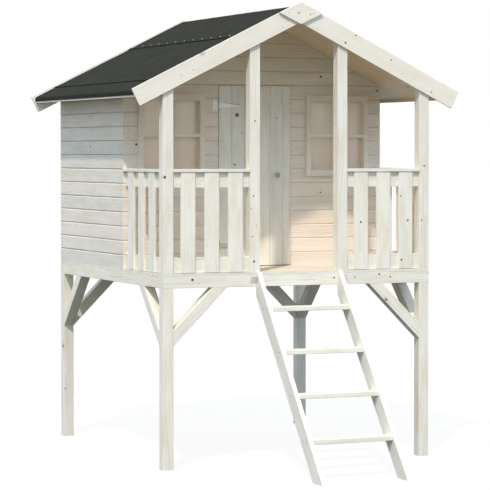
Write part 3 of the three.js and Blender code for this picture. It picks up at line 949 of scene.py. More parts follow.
        def write(graph: Graph, shader: bpy.types.NodeInputs, place: Socket) -> None:
            """Writes the felt.

            Args:
                graph: The material's graph.
                shader: The shader's inputs.
                place: The Object coordinates.
            """
            granule, patch = self._spotted(FELT, graph, place)
            colour = graph.mix(graph.fade(granule, low=0.2, high=1.0), FELT.body, FELT.other)
            colour = graph.mix(graph.fade(patch, low=0.4, high=0.65, end=0.5), colour, dusty)
            graph.feed(shader["Base Color"], colour)
            graph.feed(shader["Roughness"], graph.line(granule, FELT.uneven, FELT.roughness))
            graph.feed(shader["Normal"], graph.bump(graph.line(patch, 3.0, granule), 0.5, FELT.relief))
            graph.feed(shader["Specular IOR Level"], gloss)

        return self._kept(FELT.name, write)

    def steel(self, finish: SpottedFinish = STEEL) -> Material:
        """Zinc-plated steel with faint flowers and rubbed patches.

        Args:
            finish: Its colour and surface.

        Returns:
            The material.
        """
        flowers = 0.16

        def write(graph: Graph, shader: bpy.types.NodeInputs, place: Socket) -> None:
            """Writes the steel.

            Args:
                graph: The material's graph.
                shader: The shader's inputs.
                place: The Object coordinates.
            """
            flower, patch = self._spotted(finish, graph, place)
            level = graph.line(flower, flowers, finish.other[0])
            tint = graph.combine(level, level, level)
            graph.feed(shader["Base Color"], graph.mix(1.0, finish.body, tint, "MULTIPLY"))
            graph.feed(shader["Roughness"], graph.line(patch, finish.uneven, finish.roughness))
            graph.feed(shader["Normal"], graph.bump(patch, 0.12, finish.relief))
            graph.feed(shader["Metallic"], 1.0)

        return self._kept(finish.name, write)

    def acrylic(self) -> Material:
        """Nearly opaque acrylic sheet whose warm tint is painted light standing in for the lit room behind
        it, paler towards the roof as painted light against the shade under the porch roof.

        Returns:
            The material.
        """
        # Painted light towards the roof, against the shade under the porch roof.
        pale = srgb(255, 244, 228)
        heights = (1.84, 2.34)
        gloss = 1.0

        def write(graph: Graph, shader: bpy.types.NodeInputs, place: Socket) -> None:
            """Writes the acrylic.

            Args:
                graph: The material's graph.
                shader: The shader's inputs.
                place: The Object coordinates.
            """
            _, patch = self._spotted(ACRYLIC, graph, place)
            tint = graph.mix(graph.fade(graph.parts(place)[2], *heights), ACRYLIC.body, pale)
            graph.feed(shader["Base Color"], graph.mix(patch, tint, ACRYLIC.other))
            graph.feed(shader["Roughness"], graph.line(patch, ACRYLIC.uneven, ACRYLIC.roughness))
            # Nearly opaque, so that the pane shows its own painted light in place of the dim room behind it.
            graph.feed(shader["Alpha"], graph.line(patch, 0.03, 0.92))
            graph.feed(shader["Specular IOR Level"], gloss)

        return self._kept(ACRYLIC.name, write)


class Modelling:
    """Edit-mode modelling of new pieces, in place."""

    def __init__(self) -> None:
        """Leaves nothing selected."""
        self.clear()

    @staticmethod
    def clear() -> None:
        """Deselects everything."""
        bpy.ops.object.select_all(action="DESELECT")
        bpy.context.view_layer.objects.active = None

    @staticmethod
    def named(piece: Piece, name: str) -> Piece:
        """A piece whose own name and whose mesh's name is this one."""
        piece.name = piece.data.name = name
        return piece

    def pick(self, piece: Piece, part: Part, choose: Callable[[Element], bool]) -> None:
        """Enters edit mode with some of a piece's points, edges or faces selected.

        Args:
            piece: The piece.
            part: Whether points, edges or faces are picked.
            choose: Says whether one of them is picked.
        """
        self.clear()
        bpy.context.view_layer.objects.active = piece
        bpy.ops.object.mode_set(mode="EDIT")
        bpy.ops.mesh.select_mode(type=part.value)
        bpy.ops.mesh.select_all(action="DESELECT")
        bpy.ops.object.mode_set(mode="OBJECT")
        for element in part.of(piece.data):
            element.select = choose(element)
        bpy.ops.object.mode_set(mode="EDIT")

    def board(self, name: str, x: Span, y: Span, z: Span, ease: float = 0.002) -> Piece:
        """A planed board with eased edges.

        Args:
            name: The piece's name.
            x: Its reach to the left and right.
            y: Its reach to the front and rear.
            z: Its reach down and up.
            ease: Width of the eased edges.

        Returns:
            The board.
        """
        self.clear()
        bpy.ops.mesh.primitive_cube_add(size=1.0)
        piece = self.named(bpy.context.active_object, name)
        low, high = (Vector(corner) for corner in zip(x, y, z))
        bpy.ops.object.mode_set(mode="EDIT")
        bpy.ops.mesh.select_all(action="SELECT")
        bpy.ops.transform.resize(value=high - low)
        bpy.ops.transform.translate(value=(high + low) / 2)
        bpy.ops.mesh.bevel(offset=ease, segments=2, affect="EDGES")
        bpy.ops.object.mode_set(mode="OBJECT")
        return piece

    def copy(self, piece: Piece, name: str, place: Matrix) -> Piece:
        """A copy with a mesh of its own, moved as a matrix says.

        Args:
            piece: The piece to copy.
            name: The copy's name.
            place: Where it goes.

        Returns:
            The copy.
        """
        made = piece.copy()
        made.data = piece.data.copy()
        made.data.transform(place)
        bpy.context.scene.collection.objects.link(made)
        return self.named(made, name)

    def head(self, name: str, radius: float, height: float, sides: int = 10, dome: float = 0.35) -> Piece:
        """A domed nail or screw head on the plane Z=0, facing +Z.

        Args:
            name: The piece's name.
            radius: Its radius.
            height: How far it stands proud.
            sides: How many sides it has.
            dome: The dome's width and rise, as a share of the radius and the height.

        Returns:
            The head.
        """
        self.clear()
        bpy.ops.mesh.primitive_cylinder_add(vertices=sides, radius=radius, depth=height, location=(0, 0, 0))
        piece = bpy.context.active_object
        piece.name = name
        self.pick(piece, Part.FACE, looks_up)
        bpy.ops.mesh.inset(thickness=radius * dome)
        bpy.ops.transform.translate(value=(0, 0, height * dome))
        bpy.ops.object.mode_set(mode="OBJECT")
        return piece

    def scatter(self, head: Piece, name: str, places: Iterable[Matrix]) -> Piece:
        """Copies of a head at several places, joined in one piece."""
        copies = [self.copy(head, f"{name}_{index}", place) for index, place in enumerate(places)]
        return self.join(copies, name)

    def join(self, pieces: Sequence[Piece], name: str) -> Piece:
        """Several pieces as one.

        Args:
            pieces: The pieces.
            name: The new piece's name.

        Returns:
            The piece.
        """
        self.clear()
        for piece in pieces:
            piece.select_set(True)
        bpy.context.view_layer.objects.active = pieces[0]
        bpy.ops.object.join()
        return self.named(pieces[0], name)

    def smooth(self, piece: Piece, degrees: float) -> None:
        """Shades a piece smoothly over all edges that are blunter than an angle.

        Args:
            piece: The piece.
            degrees: The angle.
        """
        self.clear()
        piece.select_set(True)
        bpy.context.view_layer.objects.active = piece
        bpy.ops.object.shade_smooth_by_angle(angle=math.radians(degrees))


def looks_up(face: Face) -> bool:
    """Whether a face looks up."""
    return face.normal.z > 0.9


def always(element: Element) -> bool:
    """Picks everything."""
    return True


def corners(node: str) -> tuple[Vector, Vector]:
    """Lowest and highest corner of a CAD node."""
    low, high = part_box(node)
    return Vector(low), Vector(high)


def facing(place: Place, normal: Place) -> Matrix:
    """The matrix that stands a head on a face, at a point of it and along the way that it looks."""
    turn = Vector(normal).to_track_quat("Z", "Y").to_matrix().to_4x4()
    return Matrix.Translation(place) @ turn


def dress(piece: Piece, *materials: Material) -> None:
    """Gives a piece its materials, in place of those that it has.

    Args:
        piece: The piece.
        *materials: The materials.
    """
    piece.data.materials.clear()
    for material in materials:
        piece.data.materials.append(material)


def steps(first: float, last: float, count: int) -> list[float]:
    """Evenly spaced numbers from first to last."""
    return [first + (last - first) * index / (count - 1) for index in range(count)]


@dataclass
class Shop:
    """What every sub-assembly needs: the CAD nodes, the finishes and the tools.

    Attributes:
        nodes: CAD nodes by name.
        finishes: The materials.
        tools: The modelling tools.
        blunt: Angle in degrees over which an edge of a CAD node counts as an arris.
        nail_roughness: Least roughness of the nails.
    """

    nodes: dict[str, Piece]
    finishes: Finishes
    tools: Modelling
    blunt: float = 50.0
    nail_roughness: float = 0.4

    def pine_node(
        self, name: str, grain: Grain, finish: PineFinish = GLAZED, boarding: Optional[Boarding] = None
    ) -> None:
        """Dresses a CAD node in pine.

        Args:
            name: The node.
            grain: The way that its wood runs.
            finish: Its finish.
            boarding: How it is split in boards, if it is.
        """
        dress(self.nodes[name], self.finishes.pine(finish, grain, boarding, KNOTS.get(name)))
        if not boarding:
            self.soften(name)
        LOG.info("dressed %s", name)

    def soften(self, name: str, width: float = 0.0015) -> None:
        """Rounds the sharp arrises of a CAD node.

        Args:
            name: The node.
            width: How far each arris is cut back.
        """
        bevel = self.nodes[name].modifiers.new("eased arrises", "BEVEL")
        bevel.width = width
        bevel.segments = 2
        bevel.limit_method = "ANGLE"
        bevel.angle_limit = math.radians(self.blunt)
        bevel.use_clamp_overlap = True

    def split_node(self, name: str, materials: Sequence[Material], choose: Callable[[Face], int]) -> None:
        """Dresses a CAD node in several materials, face by face.

        Args:
            name: The node.
            materials: The materials.
            choose: Gives the material's number for a face.
        """
        node = self.nodes[name]
        dress(node, *materials)
        for face in node.data.polygons:
            face.material_index = choose(face)
        LOG.info("dressed %s", name)

    def fit(self, piece: Piece, body: str, slot: str, material: Material) -> None:
        """Finishes a new piece and fixes it to a body.

        Args:
            piece: The piece.
            body: The CAD body that it rides on.
            slot: The record's material slot; not used.
            material: Its material.
        """
        dress(piece, material)
        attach(piece, body)
        LOG.info("made %s", piece.name)

    def nails(
        self,
        name: str,
        places: Iterable[Matrix],
        radius: float = 0.0022,
        proud: float = 0.0007,
        body: str = HOUSE_BODY,
        tint: Colour = srgb(150, 152, 146),
    ) -> None:
        """Nail or screw heads of one sub-assembly, as one piece.

        Args:
            name: The piece's name.
            places: Where each head stands.
            radius: Their radius.
            proud: How far they stand proud.
            body: The CAD body that they ride on.
            tint: Colour of their metal.
        """
        head = self.tools.head("head", radius, proud * 2)
        piece = self.tools.scatter(head, name, places)
        bpy.data.objects.remove(head)
        finish = replace(STEEL, name=f"{name} zinc", body=tint, roughness=self.nail_roughness)
        self.fit(piece, body, "galvanised_steel", self.finishes.steel(finish))


@dataclass
class Platform:
    """Legs, braces, beams, joists and deck.

    Attributes:
        shop: The nodes, finishes and tools.
        joist_lines: Where the deck is nailed, as shares of half the width.
        nail_inset: From a board's edge to its nails.
        deck_ease: Width of the deck's rounded edge.
    """

    shop: Shop
    joist_lines: tuple[float, ...] = (-0.963, -0.309, 0.309, 0.963)
    nail_inset: float = 0.024
    deck_ease: float = 0.003

    def build(self) -> None:
        """Dresses the platform and nails its deck."""
        shop = self.shop
        for end, deep in ((End.FRONT, Grain.BRACE_TO_REAR), (End.REAR, Grain.BRACE_TO_FRONT)):
            shop.pine_node(f"beam_{end.word}", Grain.ACROSS)
            for side, rising in ((Side.LEFT, Grain.BRACE_TO_RIGHT), (Side.RIGHT, Grain.BRACE_TO_LEFT)):
                shop.pine_node(f"leg_{end.word}_{side.word}", Grain.UPRIGHT)
                shop.pine_node(f"brace_{end.word}_{side.word}_across", rising)
                shop.pine_node(f"brace_{end.word}_{side.word}_deep", deep)
        for side in Side:
            shop.pine_node(f"beam_{side.word}", Grain.DEEP)
            shop.pine_node(f"joist_{side.word}", Grain.DEEP)
        low, high = corners("floor_deck")
        boards = Boarding(axis=1, start=low.y)
        finishes = [shop.finishes.pine(finish, Grain.ACROSS, boards) for finish in (DECK_TOP, GLAZED)]
        shop.split_node("floor_deck", finishes, lambda face: int(abs(face.normal.z) < 0.5))
        shop.soften("floor_deck", self.deck_ease)
        places = []
        for index in range(int((high.y - low.y) / boards.cover)):
            for edge in (self.nail_inset, boards.cover - self.nail_inset):
                for line in self.joist_lines:
                    place = ((high.x - low.x) / 2 * line, low.y + index * boards.cover + edge, high.z)
                    places.append(facing(place, (0, 0, 1)))
        shop.nails("deck_nails", places)


@dataclass
class Railing:
    """One railing panel: two rails, pickets on their outside and a cap.

    Attributes:
        shop: The nodes, finishes and tools.
        node: The CAD node that it takes the place of.
        outward: The way that it looks.
        picket_width: Width of a picket.
        picket_thickness: Thickness of a picket.
        rail_height: Height of a rail.
        rail_thickness: Thickness of a rail.
        cap_thickness: Thickness of the cap.
        cap_proud: How far the cap stands in front of the pickets.
        pitch_share: Picket spacing as a share of the panel's length.
        nail_spread: From a picket's middle to its nails, as a share of its width.
        nail_step: How much higher the one nail is than the other, as a share of the rail's height.
    """

    shop: Shop
    node: str
    outward: Vector
    picket_width: float = 0.098
    picket_thickness: float = 0.016
    rail_height: float = 0.098
    rail_thickness: float = 0.028
    cap_thickness: float = 0.020
    cap_proud: float = 0.005
    pitch_share: float = 0.31
    nail_spread: float = 0.25
    nail_step: float = 0.3

    def build(self) -> None:
        """Models the panel in place of the CAD node."""
        low, high = corners(self.node)
        along, deep = (0, 1) if abs(self.outward.y) > 0.5 else (1, 0)
        sign = self.outward[deep]
        picket_face = (low[deep] if sign < 0 else high[deep]) - sign * self.cap_proud
        picket_back = picket_face - sign * self.picket_thickness
        rail_back = picket_back - sign * self.rail_thickness
        cap_bottom = high.z - self.cap_thickness
        made = []

        def placed(run: Reach, depth: Reach, rise: Reach) -> tuple[Reach, Reach, Reach]:
            """What is given along the panel, square to it and upwards, in the order of X, Y and Z."""
            return (run, depth, rise) if along == 0 else (depth, run, rise)

        def slab(name: str, run: Span, depth: Span, rise: Span) -> None:
            """Adds one board of the panel, which reaches that far along it, square to it and upwards."""
            spans = placed(run, (min(depth), max(depth)), rise)
            made.append((self.shop.tools.board(f"{self.node}_{name}", *spans), name))

        whole = (low[along], high[along])
        slab("lower_rail", whole, (picket_back, rail_back), (low.z, low.z + self.rail_height))
        slab("upper_rail", whole, (picket_back, rail_back), (cap_bottom - self.rail_height, cap_bottom))
        slab("cap", whole, (low[deep], high[deep]), (cap_bottom, high.z))
        centre = (low[along] + high[along]) / 2
        pitch = (high[along] - low[along]) * self.pitch_share
        half_rail = self.rail_height / 2
        nails = []
        for index in (-1, 0, 1):
            middle = centre + index * pitch
            run = (middle - self.picket_width / 2, middle + self.picket_width / 2)
            slab(f"picket_{index + 2}", run, (picket_face, picket_back), (low.z, cap_bottom))
            for height in (low.z + half_rail, cap_bottom - half_rail):
                for way in (-1, 1):
                    across = middle + way * self.nail_spread * self.picket_width
                    up = height + way * self.nail_step * half_rail
                    nails.append(facing(placed(across, picket_face, up), tuple(self.outward)))
        level = Grain.ACROSS if along == 0 else Grain.DEEP
        for piece, name in made:
            upright = name.startswith("picket")
            finish, grain = (PALE, Grain.UPRIGHT) if upright else (GLAZED, level)
            material = self.shop.finishes.pine(finish, grain, knots=KNOTS.get(self.node) if upright else None)
            self.shop.fit(piece, HOUSE_BODY, GLAZED.slot, material)
        for piece, _ in made:
            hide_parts(self.node)
        self.shop.nails(f"{self.node}_nails", nails, radius=0.0014, proud=0.0004)


@dataclass
class Porch:
    """Posts and railings round the porch.

    Attributes:
        shop: The nodes, finishes and tools.
        side_pitch_share: Picket spacing of the side railings as a share of their length.
    """

    shop: Shop
    side_pitch_share: float = 0.2877

    def build(self) -> None:
        """Dresses the posts and builds the railings."""
        for side in Side:
            for kind in ("corner", "inner"):
                self.shop.pine_node(f"porch_post_{kind}_{side.word}", Grain.UPRIGHT)
            Railing(self.shop, f"railing_front_{side.word}", Vector((0, -1, 0))).build()
            outward = Vector((side.value, 0, 0))
            share = self.side_pitch_share
            Railing(self.shop, f"railing_side_{side.word}", outward, pitch_share=share).build()


@dataclass
class Window:
    """A deep frame with a cross of bars on its front, and its pane.

    Attributes:
        shop: The nodes, finishes and tools.
        side: The half of the front wall that it is in.
        stile_width: Width of the upright members.
        rail_height: Height of the level members.
        bar_width: Width of the cross's bars.
        bar_proud: How far the cross stands in front of the frame.
        bar_depth: Thickness of the bars.
        halving: How much the upright bar stays behind the level one's faces where they are halved together.
        ease: Width of the eased edges.
    """

    shop: Shop
    side: Side
    stile_width: float = 0.033
    rail_height: float = 0.040
    bar_width: float = 0.020
    bar_proud: float = 0.004
    bar_depth: float = 0.010
    halving: float = 0.0005
    ease: float = 0.0015

    def build(self) -> None:
        """Models the frame in place of the CAD node and dresses the pane."""
        node = f"window_frame_{self.side.word}"
        low, high = corners(node)
        centre = (low + high) / 2
        half = self.bar_width / 2
        frame = (low.y + self.bar_proud, high.y)
        bar = (low.y, low.y + self.bar_depth)
        halved = (bar[0] + self.halving, bar[1] - self.halving)
        inner = (low.x + self.stile_width, high.x - self.stile_width)
        whole = (low.z, high.z)
        members = (
            ("stile_a", Grain.UPRIGHT, (low.x, inner[0]), frame, whole),
            ("stile_b", Grain.UPRIGHT, (inner[1], high.x), frame, whole),
            ("bar_upright", Grain.UPRIGHT, (centre.x - half, centre.x + half), halved, whole),
            ("rail_top", Grain.ACROSS, inner, frame, (high.z - self.rail_height, high.z)),
            ("rail_bottom", Grain.ACROSS, inner, frame, (low.z, low.z + self.rail_height)),
            ("bar_level", Grain.ACROSS, (low.x, high.x), bar, (centre.z - half, centre.z + half)),
        )
        for name, grain, *spans in members:
            piece = self.shop.tools.board(f"{node}_{name}", *spans, ease=self.ease)
            self.shop.fit(piece, HOUSE_BODY, JOINERY.slot, self.shop.finishes.pine(JOINERY, grain))
            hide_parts(node)
        dress(self.shop.nodes[f"window_pane_{self.side.word}"], self.shop.finishes.acrylic())


@dataclass
class Cabin:
    """Walls and windows.

    Attributes:
        shop: The nodes, finishes and tools.
        nail_inset: From a board's edge to its nails.
        corner_inset: From the cabin's corners to the lines of nails.
        side_inset: From the side walls' ends to their lines of nails.
        door_post: From the middle to the lines of nails beside the door.
        lowest_trim: How much is cut off the foot of the lowest board.
        sheltered_seam: Half width of the joints' dark line under the porch roof.
    """

    shop: Shop
    nail_inset: float = 0.024
    corner_inset: float = 0.039
    side_inset: float = 0.02
    door_post: float = 0.275
    lowest_trim: float = 0.005
    sheltered_seam: float = 0.0005

    def build(self) -> None:
        """Dresses the walls, nails their boards and builds the windows."""
        deck = corners("floor_deck")[1].z - self.lowest_trim
        boards = Boarding(axis=2, start=deck)
        sheltered = replace(boards, seam=self.sheltered_seam)
        self._dress_wall("wall_front", Grain.ACROSS, PORCH, sheltered, Vector((0, 1, 0)))
        self._dress_wall("wall_rear", Grain.ACROSS, GLAZED, boards, Vector((0, -1, 0)))
        for side in Side:
            # The side walls take the glaze darkened as painted shade.
            self._dress_wall(f"wall_{side.word}", Grain.DEEP, GLAZE_PAINTED_SHADE, boards, Vector((-side.value, 0, 0)))
        self._nail_walls(deck, boards.cover)
        for side in Side:
            Window(self.shop, side).build()

    def _dress_wall(
        self, name: str, grain: Grain, finish: PineFinish, boards: Boarding, inward: Vector
    ) -> None:
        """Glazes a wall outside and leaves it natural inside.

        Args:
            name: The wall's node.
            grain: The way that its boards run.
            finish: Its finish outside.
            boards: How it is split in boards.
            inward: The way into the cabin.
        """
        pine = self.shop.finishes.pine
        finishes = [pine(finish, grain, boards, KNOTS.get(name)), pine(NATURAL, grain, boards)]
        self.shop.split_node(name, finishes, lambda face: int(face.normal.dot(inward) > 0.5))

    def _nail_walls(self, deck: float, cover: float) -> None:
        """Nails the boards to the battens behind them.

        Args:
            deck: Height at which whole boards start.
            cover: Width that a board covers.
        """
        front = corners("wall_front")[0].y
        _, rear = corners("wall_rear")
        low, high = corners("wall_left")
        half = rear.x - self.corner_inset
        edges = (self.nail_inset, cover - self.nail_inset)
        places = []
        for row in range(int((high.z - deck) / cover)):
            for height in (deck + row * cover + edge for edge in edges):
                for x in (-half, 0.0, half):
                    places.append(facing((x, rear.y, height), (0, 1, 0)))
                for x in (-half, -self.door_post, self.door_post, half):
                    places.append(facing((x, front, height), (0, -1, 0)))
                for y in (low.y + self.side_inset, (low.y + high.y) / 2, high.y - self.side_inset):
                    for side in Side:
                        places.append(facing((-low.x * side.value, y, height), (side.value, 0, 0)))
        self.shop.nails("wall_nails", places, tint=srgb(150, 146, 134))


@dataclass
class Hinge:
    """A pressed strap on the leaf and a plate with raised edges on the wall, with knuckles round one pin.

    Attributes:
        shop: The nodes, finishes and tools.
        level: Upper or lower.
        thickness: Thickness of the steel.
        barrel_radius: Outer radius of the knuckles.
        barrel_sides: How many sides a knuckle has.
        knuckle_height: Height of the strap's knuckle.
        knuckle_ease: Width of a knuckle's eased edges.
        gap: Between two knuckles.
        tip_share: Height of the strap's tip as a share of its root.
        tip_reach: Length of the strap's tip that is narrowed.
        crest: How far the strap's middle line stands proud.
        rim: Width of the plate's raised edge.
        sunk_share: Depth of the plate inside it, as a share of the steel.
        strap_ease: Width of the strap's eased edges.
        plate_ease: Width of the plate's eased edges.
        ear_ease: Width of the eased edges where the plate turns into its knuckles.
        snap: How close a point counts as on the strap's middle line.
    """

    shop: Shop
    level: Level
    thickness: float = 0.0025
    barrel_radius: float = 0.0055
    barrel_sides: int = 20
    knuckle_height: float = 0.040
    knuckle_ease: float = 0.0008
    gap: float = 0.0004
    tip_share: float = 0.35
    tip_reach: float = 0.002
    crest: float = 0.002
    rim: float = 0.005
    sunk_share: float = 0.4
    strap_ease: float = 0.0007
    plate_ease: float = 0.0006
    ear_ease: float = 0.0004
    snap: float = 1e-5

    def build(self) -> None:
        """Models the strap and the plate in place of their CAD nodes."""
        strap_node = f"hinge_strap_{self.level.word}"
        plate_node = f"hinge_plate_{self.level.word}"
        low, high = corners(strap_node)
        pin = Vector((low.x + self.barrel_radius, low.y + self.barrel_radius, (low.z + high.z) / 2))
        half = self.knuckle_height / 2
        strap = self._strap(Vector((pin.x, high.y - self.thickness, low.z)), high)
        knuckle = self._knuckle(pin, -half, half)
        self._finish(strap_node, [strap, knuckle], DOOR_BODY)
        low, high = corners(plate_node)
        outer = (high.z - low.z) / 2
        inner = half + self.gap
        leaf = pin.x - self.barrel_radius - self.gap
        steel = (high.y - self.thickness, high.y)
        pieces = [self._plate((low.x, leaf), steel, (low.z, high.z))]
        for bottom, top in ((-outer, -inner), (inner, outer)):
            pieces.append(self._knuckle(pin, bottom, top))
            run, rise = (leaf - self.thickness, pin.x), (pin.z + bottom, pin.z + top)
            pieces.append(self.shop.tools.board("ear", run, steel, rise, self.ear_ease))
        self._finish(plate_node, pieces, HOUSE_BODY)

    def _strap(self, low: Vector, high: Vector) -> Piece:
        """The tapered strap, creased along its middle line.

        Args:
            low: Its lowest corner at the root.
            high: Its highest corner.

        Returns:
            The strap.
        """
        tools = self.shop.tools
        piece = tools.board("strap", *zip(low, high), ease=self.strap_ease)
        middle = (low.z + high.z) / 2
        front = low.y + self.thickness / 2
        bpy.ops.object.mode_set(mode="EDIT")
        bpy.ops.mesh.select_all(action="SELECT")
        bpy.ops.mesh.bisect(plane_co=(0, 0, middle), plane_no=(0, 0, 1))
        bpy.ops.object.mode_set(mode="OBJECT")
        tools.pick(piece, Part.POINT, lambda point: point.co.x > high.x - self.tip_reach)
        bpy.ops.transform.resize(value=(1, 1, self.tip_share))
        bpy.ops.object.mode_set(mode="OBJECT")
        tools.pick(
            piece, Part.POINT, lambda point: abs(point.co.z - middle) < self.snap and point.co.y < front
        )
        bpy.ops.transform.translate(value=(0, -self.crest, 0))
        bpy.ops.object.mode_set(mode="OBJECT")
        return piece

    def _plate(self, x: Span, y: Span, z: Span) -> Piece:
        """The wall plate with its raised edge.

        Args:
            x: Its reach to the left and right.
            y: Its reach to the front and rear.
            z: Its reach down and up.

        Returns:
            The plate.
        """
        piece = self.shop.tools.board("plate", x, y, z, self.plate_ease)
        self.shop.tools.pick(piece, Part.FACE, lambda face: face.normal.y < -0.99)
        bpy.ops.mesh.inset(thickness=self.rim)
        bpy.ops.mesh.inset(thickness=self.thickness / 2)
        bpy.ops.transform.translate(value=(0, self.thickness * self.sunk_share, 0))
        bpy.ops.object.mode_set(mode="OBJECT")
        return piece

    def _knuckle(self, pin: Vector, bottom: float, top: float) -> Piece:
        """A rolled knuckle round the pin.

        Args:
            pin: The middle of the pin.
            bottom: Its lower end, from there.
            top: Its upper end, from there.

        Returns:
            The knuckle.
        """
        self.shop.tools.clear()
        bpy.ops.mesh.primitive_cylinder_add(
            vertices=self.barrel_sides,
            radius=self.barrel_radius,
            depth=top - bottom,
            location=(pin.x, pin.y, pin.z + (bottom + top) / 2),
        )
        piece = bpy.context.active_object
        bpy.ops.object.transform_apply(location=True)
        self.shop.tools.pick(piece, Part.FACE, always)
        bpy.ops.mesh.bevel(offset=self.knuckle_ease, segments=2, affect="EDGES")
        bpy.ops.object.mode_set(mode="OBJECT")
        return piece

    def _finish(self, node: str, pieces: Sequence[Piece], body: str) -> None:
        """Joins pieces in place of a CAD node.

        Args:
            node: The CAD node.
            pieces: The pieces.
            body: The CAD body that they ride on.
        """
        made = self.shop.tools.join(pieces, f"formed_{node}")
        self.shop.fit(made, body, "galvanised_steel", self.shop.finishes.steel())
        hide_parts(node)


@dataclass
class Door:
    """Leaf, ledges, hinges and knob.

    Attributes:
        shop: The nodes, finishes and tools.
        seam: Half width of the dark line in the leaf's joints.
        neck_radius: Radius of the knob's neck.
        neck_share: Length of the neck as a share of the knob's.
        knob_sides: How many sides the knob has.
        profile: Length along the knob and radius there, as shares of the whole.
        strap_screws: Where a strap is screwed, as shares of its length.
        plate_screws: Where a plate is screwed, as shares of its height.
        plate_screw_inset: From the plate's free edge to its screws.
        steel_proud: How far the hinges' steel stands in front of the wood.
    """

    shop: Shop
    seam: float = 0.0005
    neck_radius: float = 0.008
    neck_share: float = 0.3
    knob_sides: int = 40
    profile: tuple[Span, ...] = (
        (0.12, 0.62),
        (0.26, 0.9),
        (0.42, 1.0),
        (0.56, 0.9),
        (0.66, 0.66),
        (0.7, 0.36),
    )
    strap_screws: tuple[float, ...] = (0.25, 0.55, 0.88)
    plate_screws: tuple[float, ...] = (0.14, 0.5, 0.86)
    plate_screw_inset: float = 0.017
    steel_proud: float = 0.0028

    def build(self) -> None:
        """Dresses the door and turns its knob."""
        boards = Boarding(axis=2, start=corners("door_leaf")[1].x, seam=self.seam)
        self.shop.pine_node("door_leaf", Grain.UPRIGHT, PALE, boards)
        self.shop.pine_node("door_ledges", Grain.ACROSS)
        for level in Level:
            Hinge(self.shop, level).build()
        self._knob()
        self._screws()

    def _knob(self) -> None:
        """Turns the knob from a profile, in place of the CAD node."""
        low, high = corners("door_knob")
        centre = (low + high) / 2
        length = high.y - low.y
        neck = length * self.neck_share
        tools = self.shop.tools
        tools.clear()
        bpy.ops.mesh.primitive_cylinder_add(vertices=self.knob_sides, radius=self.neck_radius, depth=neck)
        piece = bpy.context.active_object
        piece.name = "turned_knob"
        tools.pick(piece, Part.FACE, looks_up)
        now = self.neck_radius
        height = 0.0
        for rise, share in self.profile:
            wanted = (high.x - low.x) / 2 * share
            step = {"value": (0, 0, length * (rise - height))}
            bpy.ops.mesh.extrude_region_move(TRANSFORM_OT_translate=step)
            bpy.ops.transform.resize(value=(wanted / now, wanted / now, 1))
            now = wanted
            height = rise
        bpy.ops.mesh.select_all(action="SELECT")
        bpy.ops.transform.translate(value=(0, 0, neck / 2))
        bpy.ops.object.mode_set(mode="OBJECT")
        turn = Matrix.Rotation(math.pi / 2, 4, "X")
        piece.data.transform(Matrix.Translation((centre.x, high.y, centre.z)) @ turn)
        tools.smooth(piece, degrees=50)
        self.shop.fit(piece, DOOR_BODY, TURNED.slot, self.shop.finishes.pine(TURNED, Grain.DEEP))
        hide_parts("door_knob")

    def _screws(self) -> None:
        """Screws in the hinges."""
        on_door = []
        on_wall = []
        leaf_face = corners("door_leaf")[0].y - self.steel_proud
        wall_face = corners("wall_front")[0].y - self.steel_proud
        for level in Level:
            low, high = corners(f"hinge_strap_{level.word}")
            for share in self.strap_screws:
                place = (low.x + (high.x - low.x) * share, leaf_face, (low.z + high.z) / 2)
                on_door.append(facing(place, (0, -1, 0)))
            low, high = corners(f"hinge_plate_{level.word}")
            for share in self.plate_screws:
                place = (low.x + self.plate_screw_inset, wall_face, low.z + (high.z - low.z) * share)
                on_wall.append(facing(place, (0, -1, 0)))
        self.shop.nails("hinge_strap_screws", on_door, radius=0.0035, proud=0.001, body=DOOR_BODY)
        self.shop.nails("hinge_plate_screws", on_wall, radius=0.0035, proud=0.001)


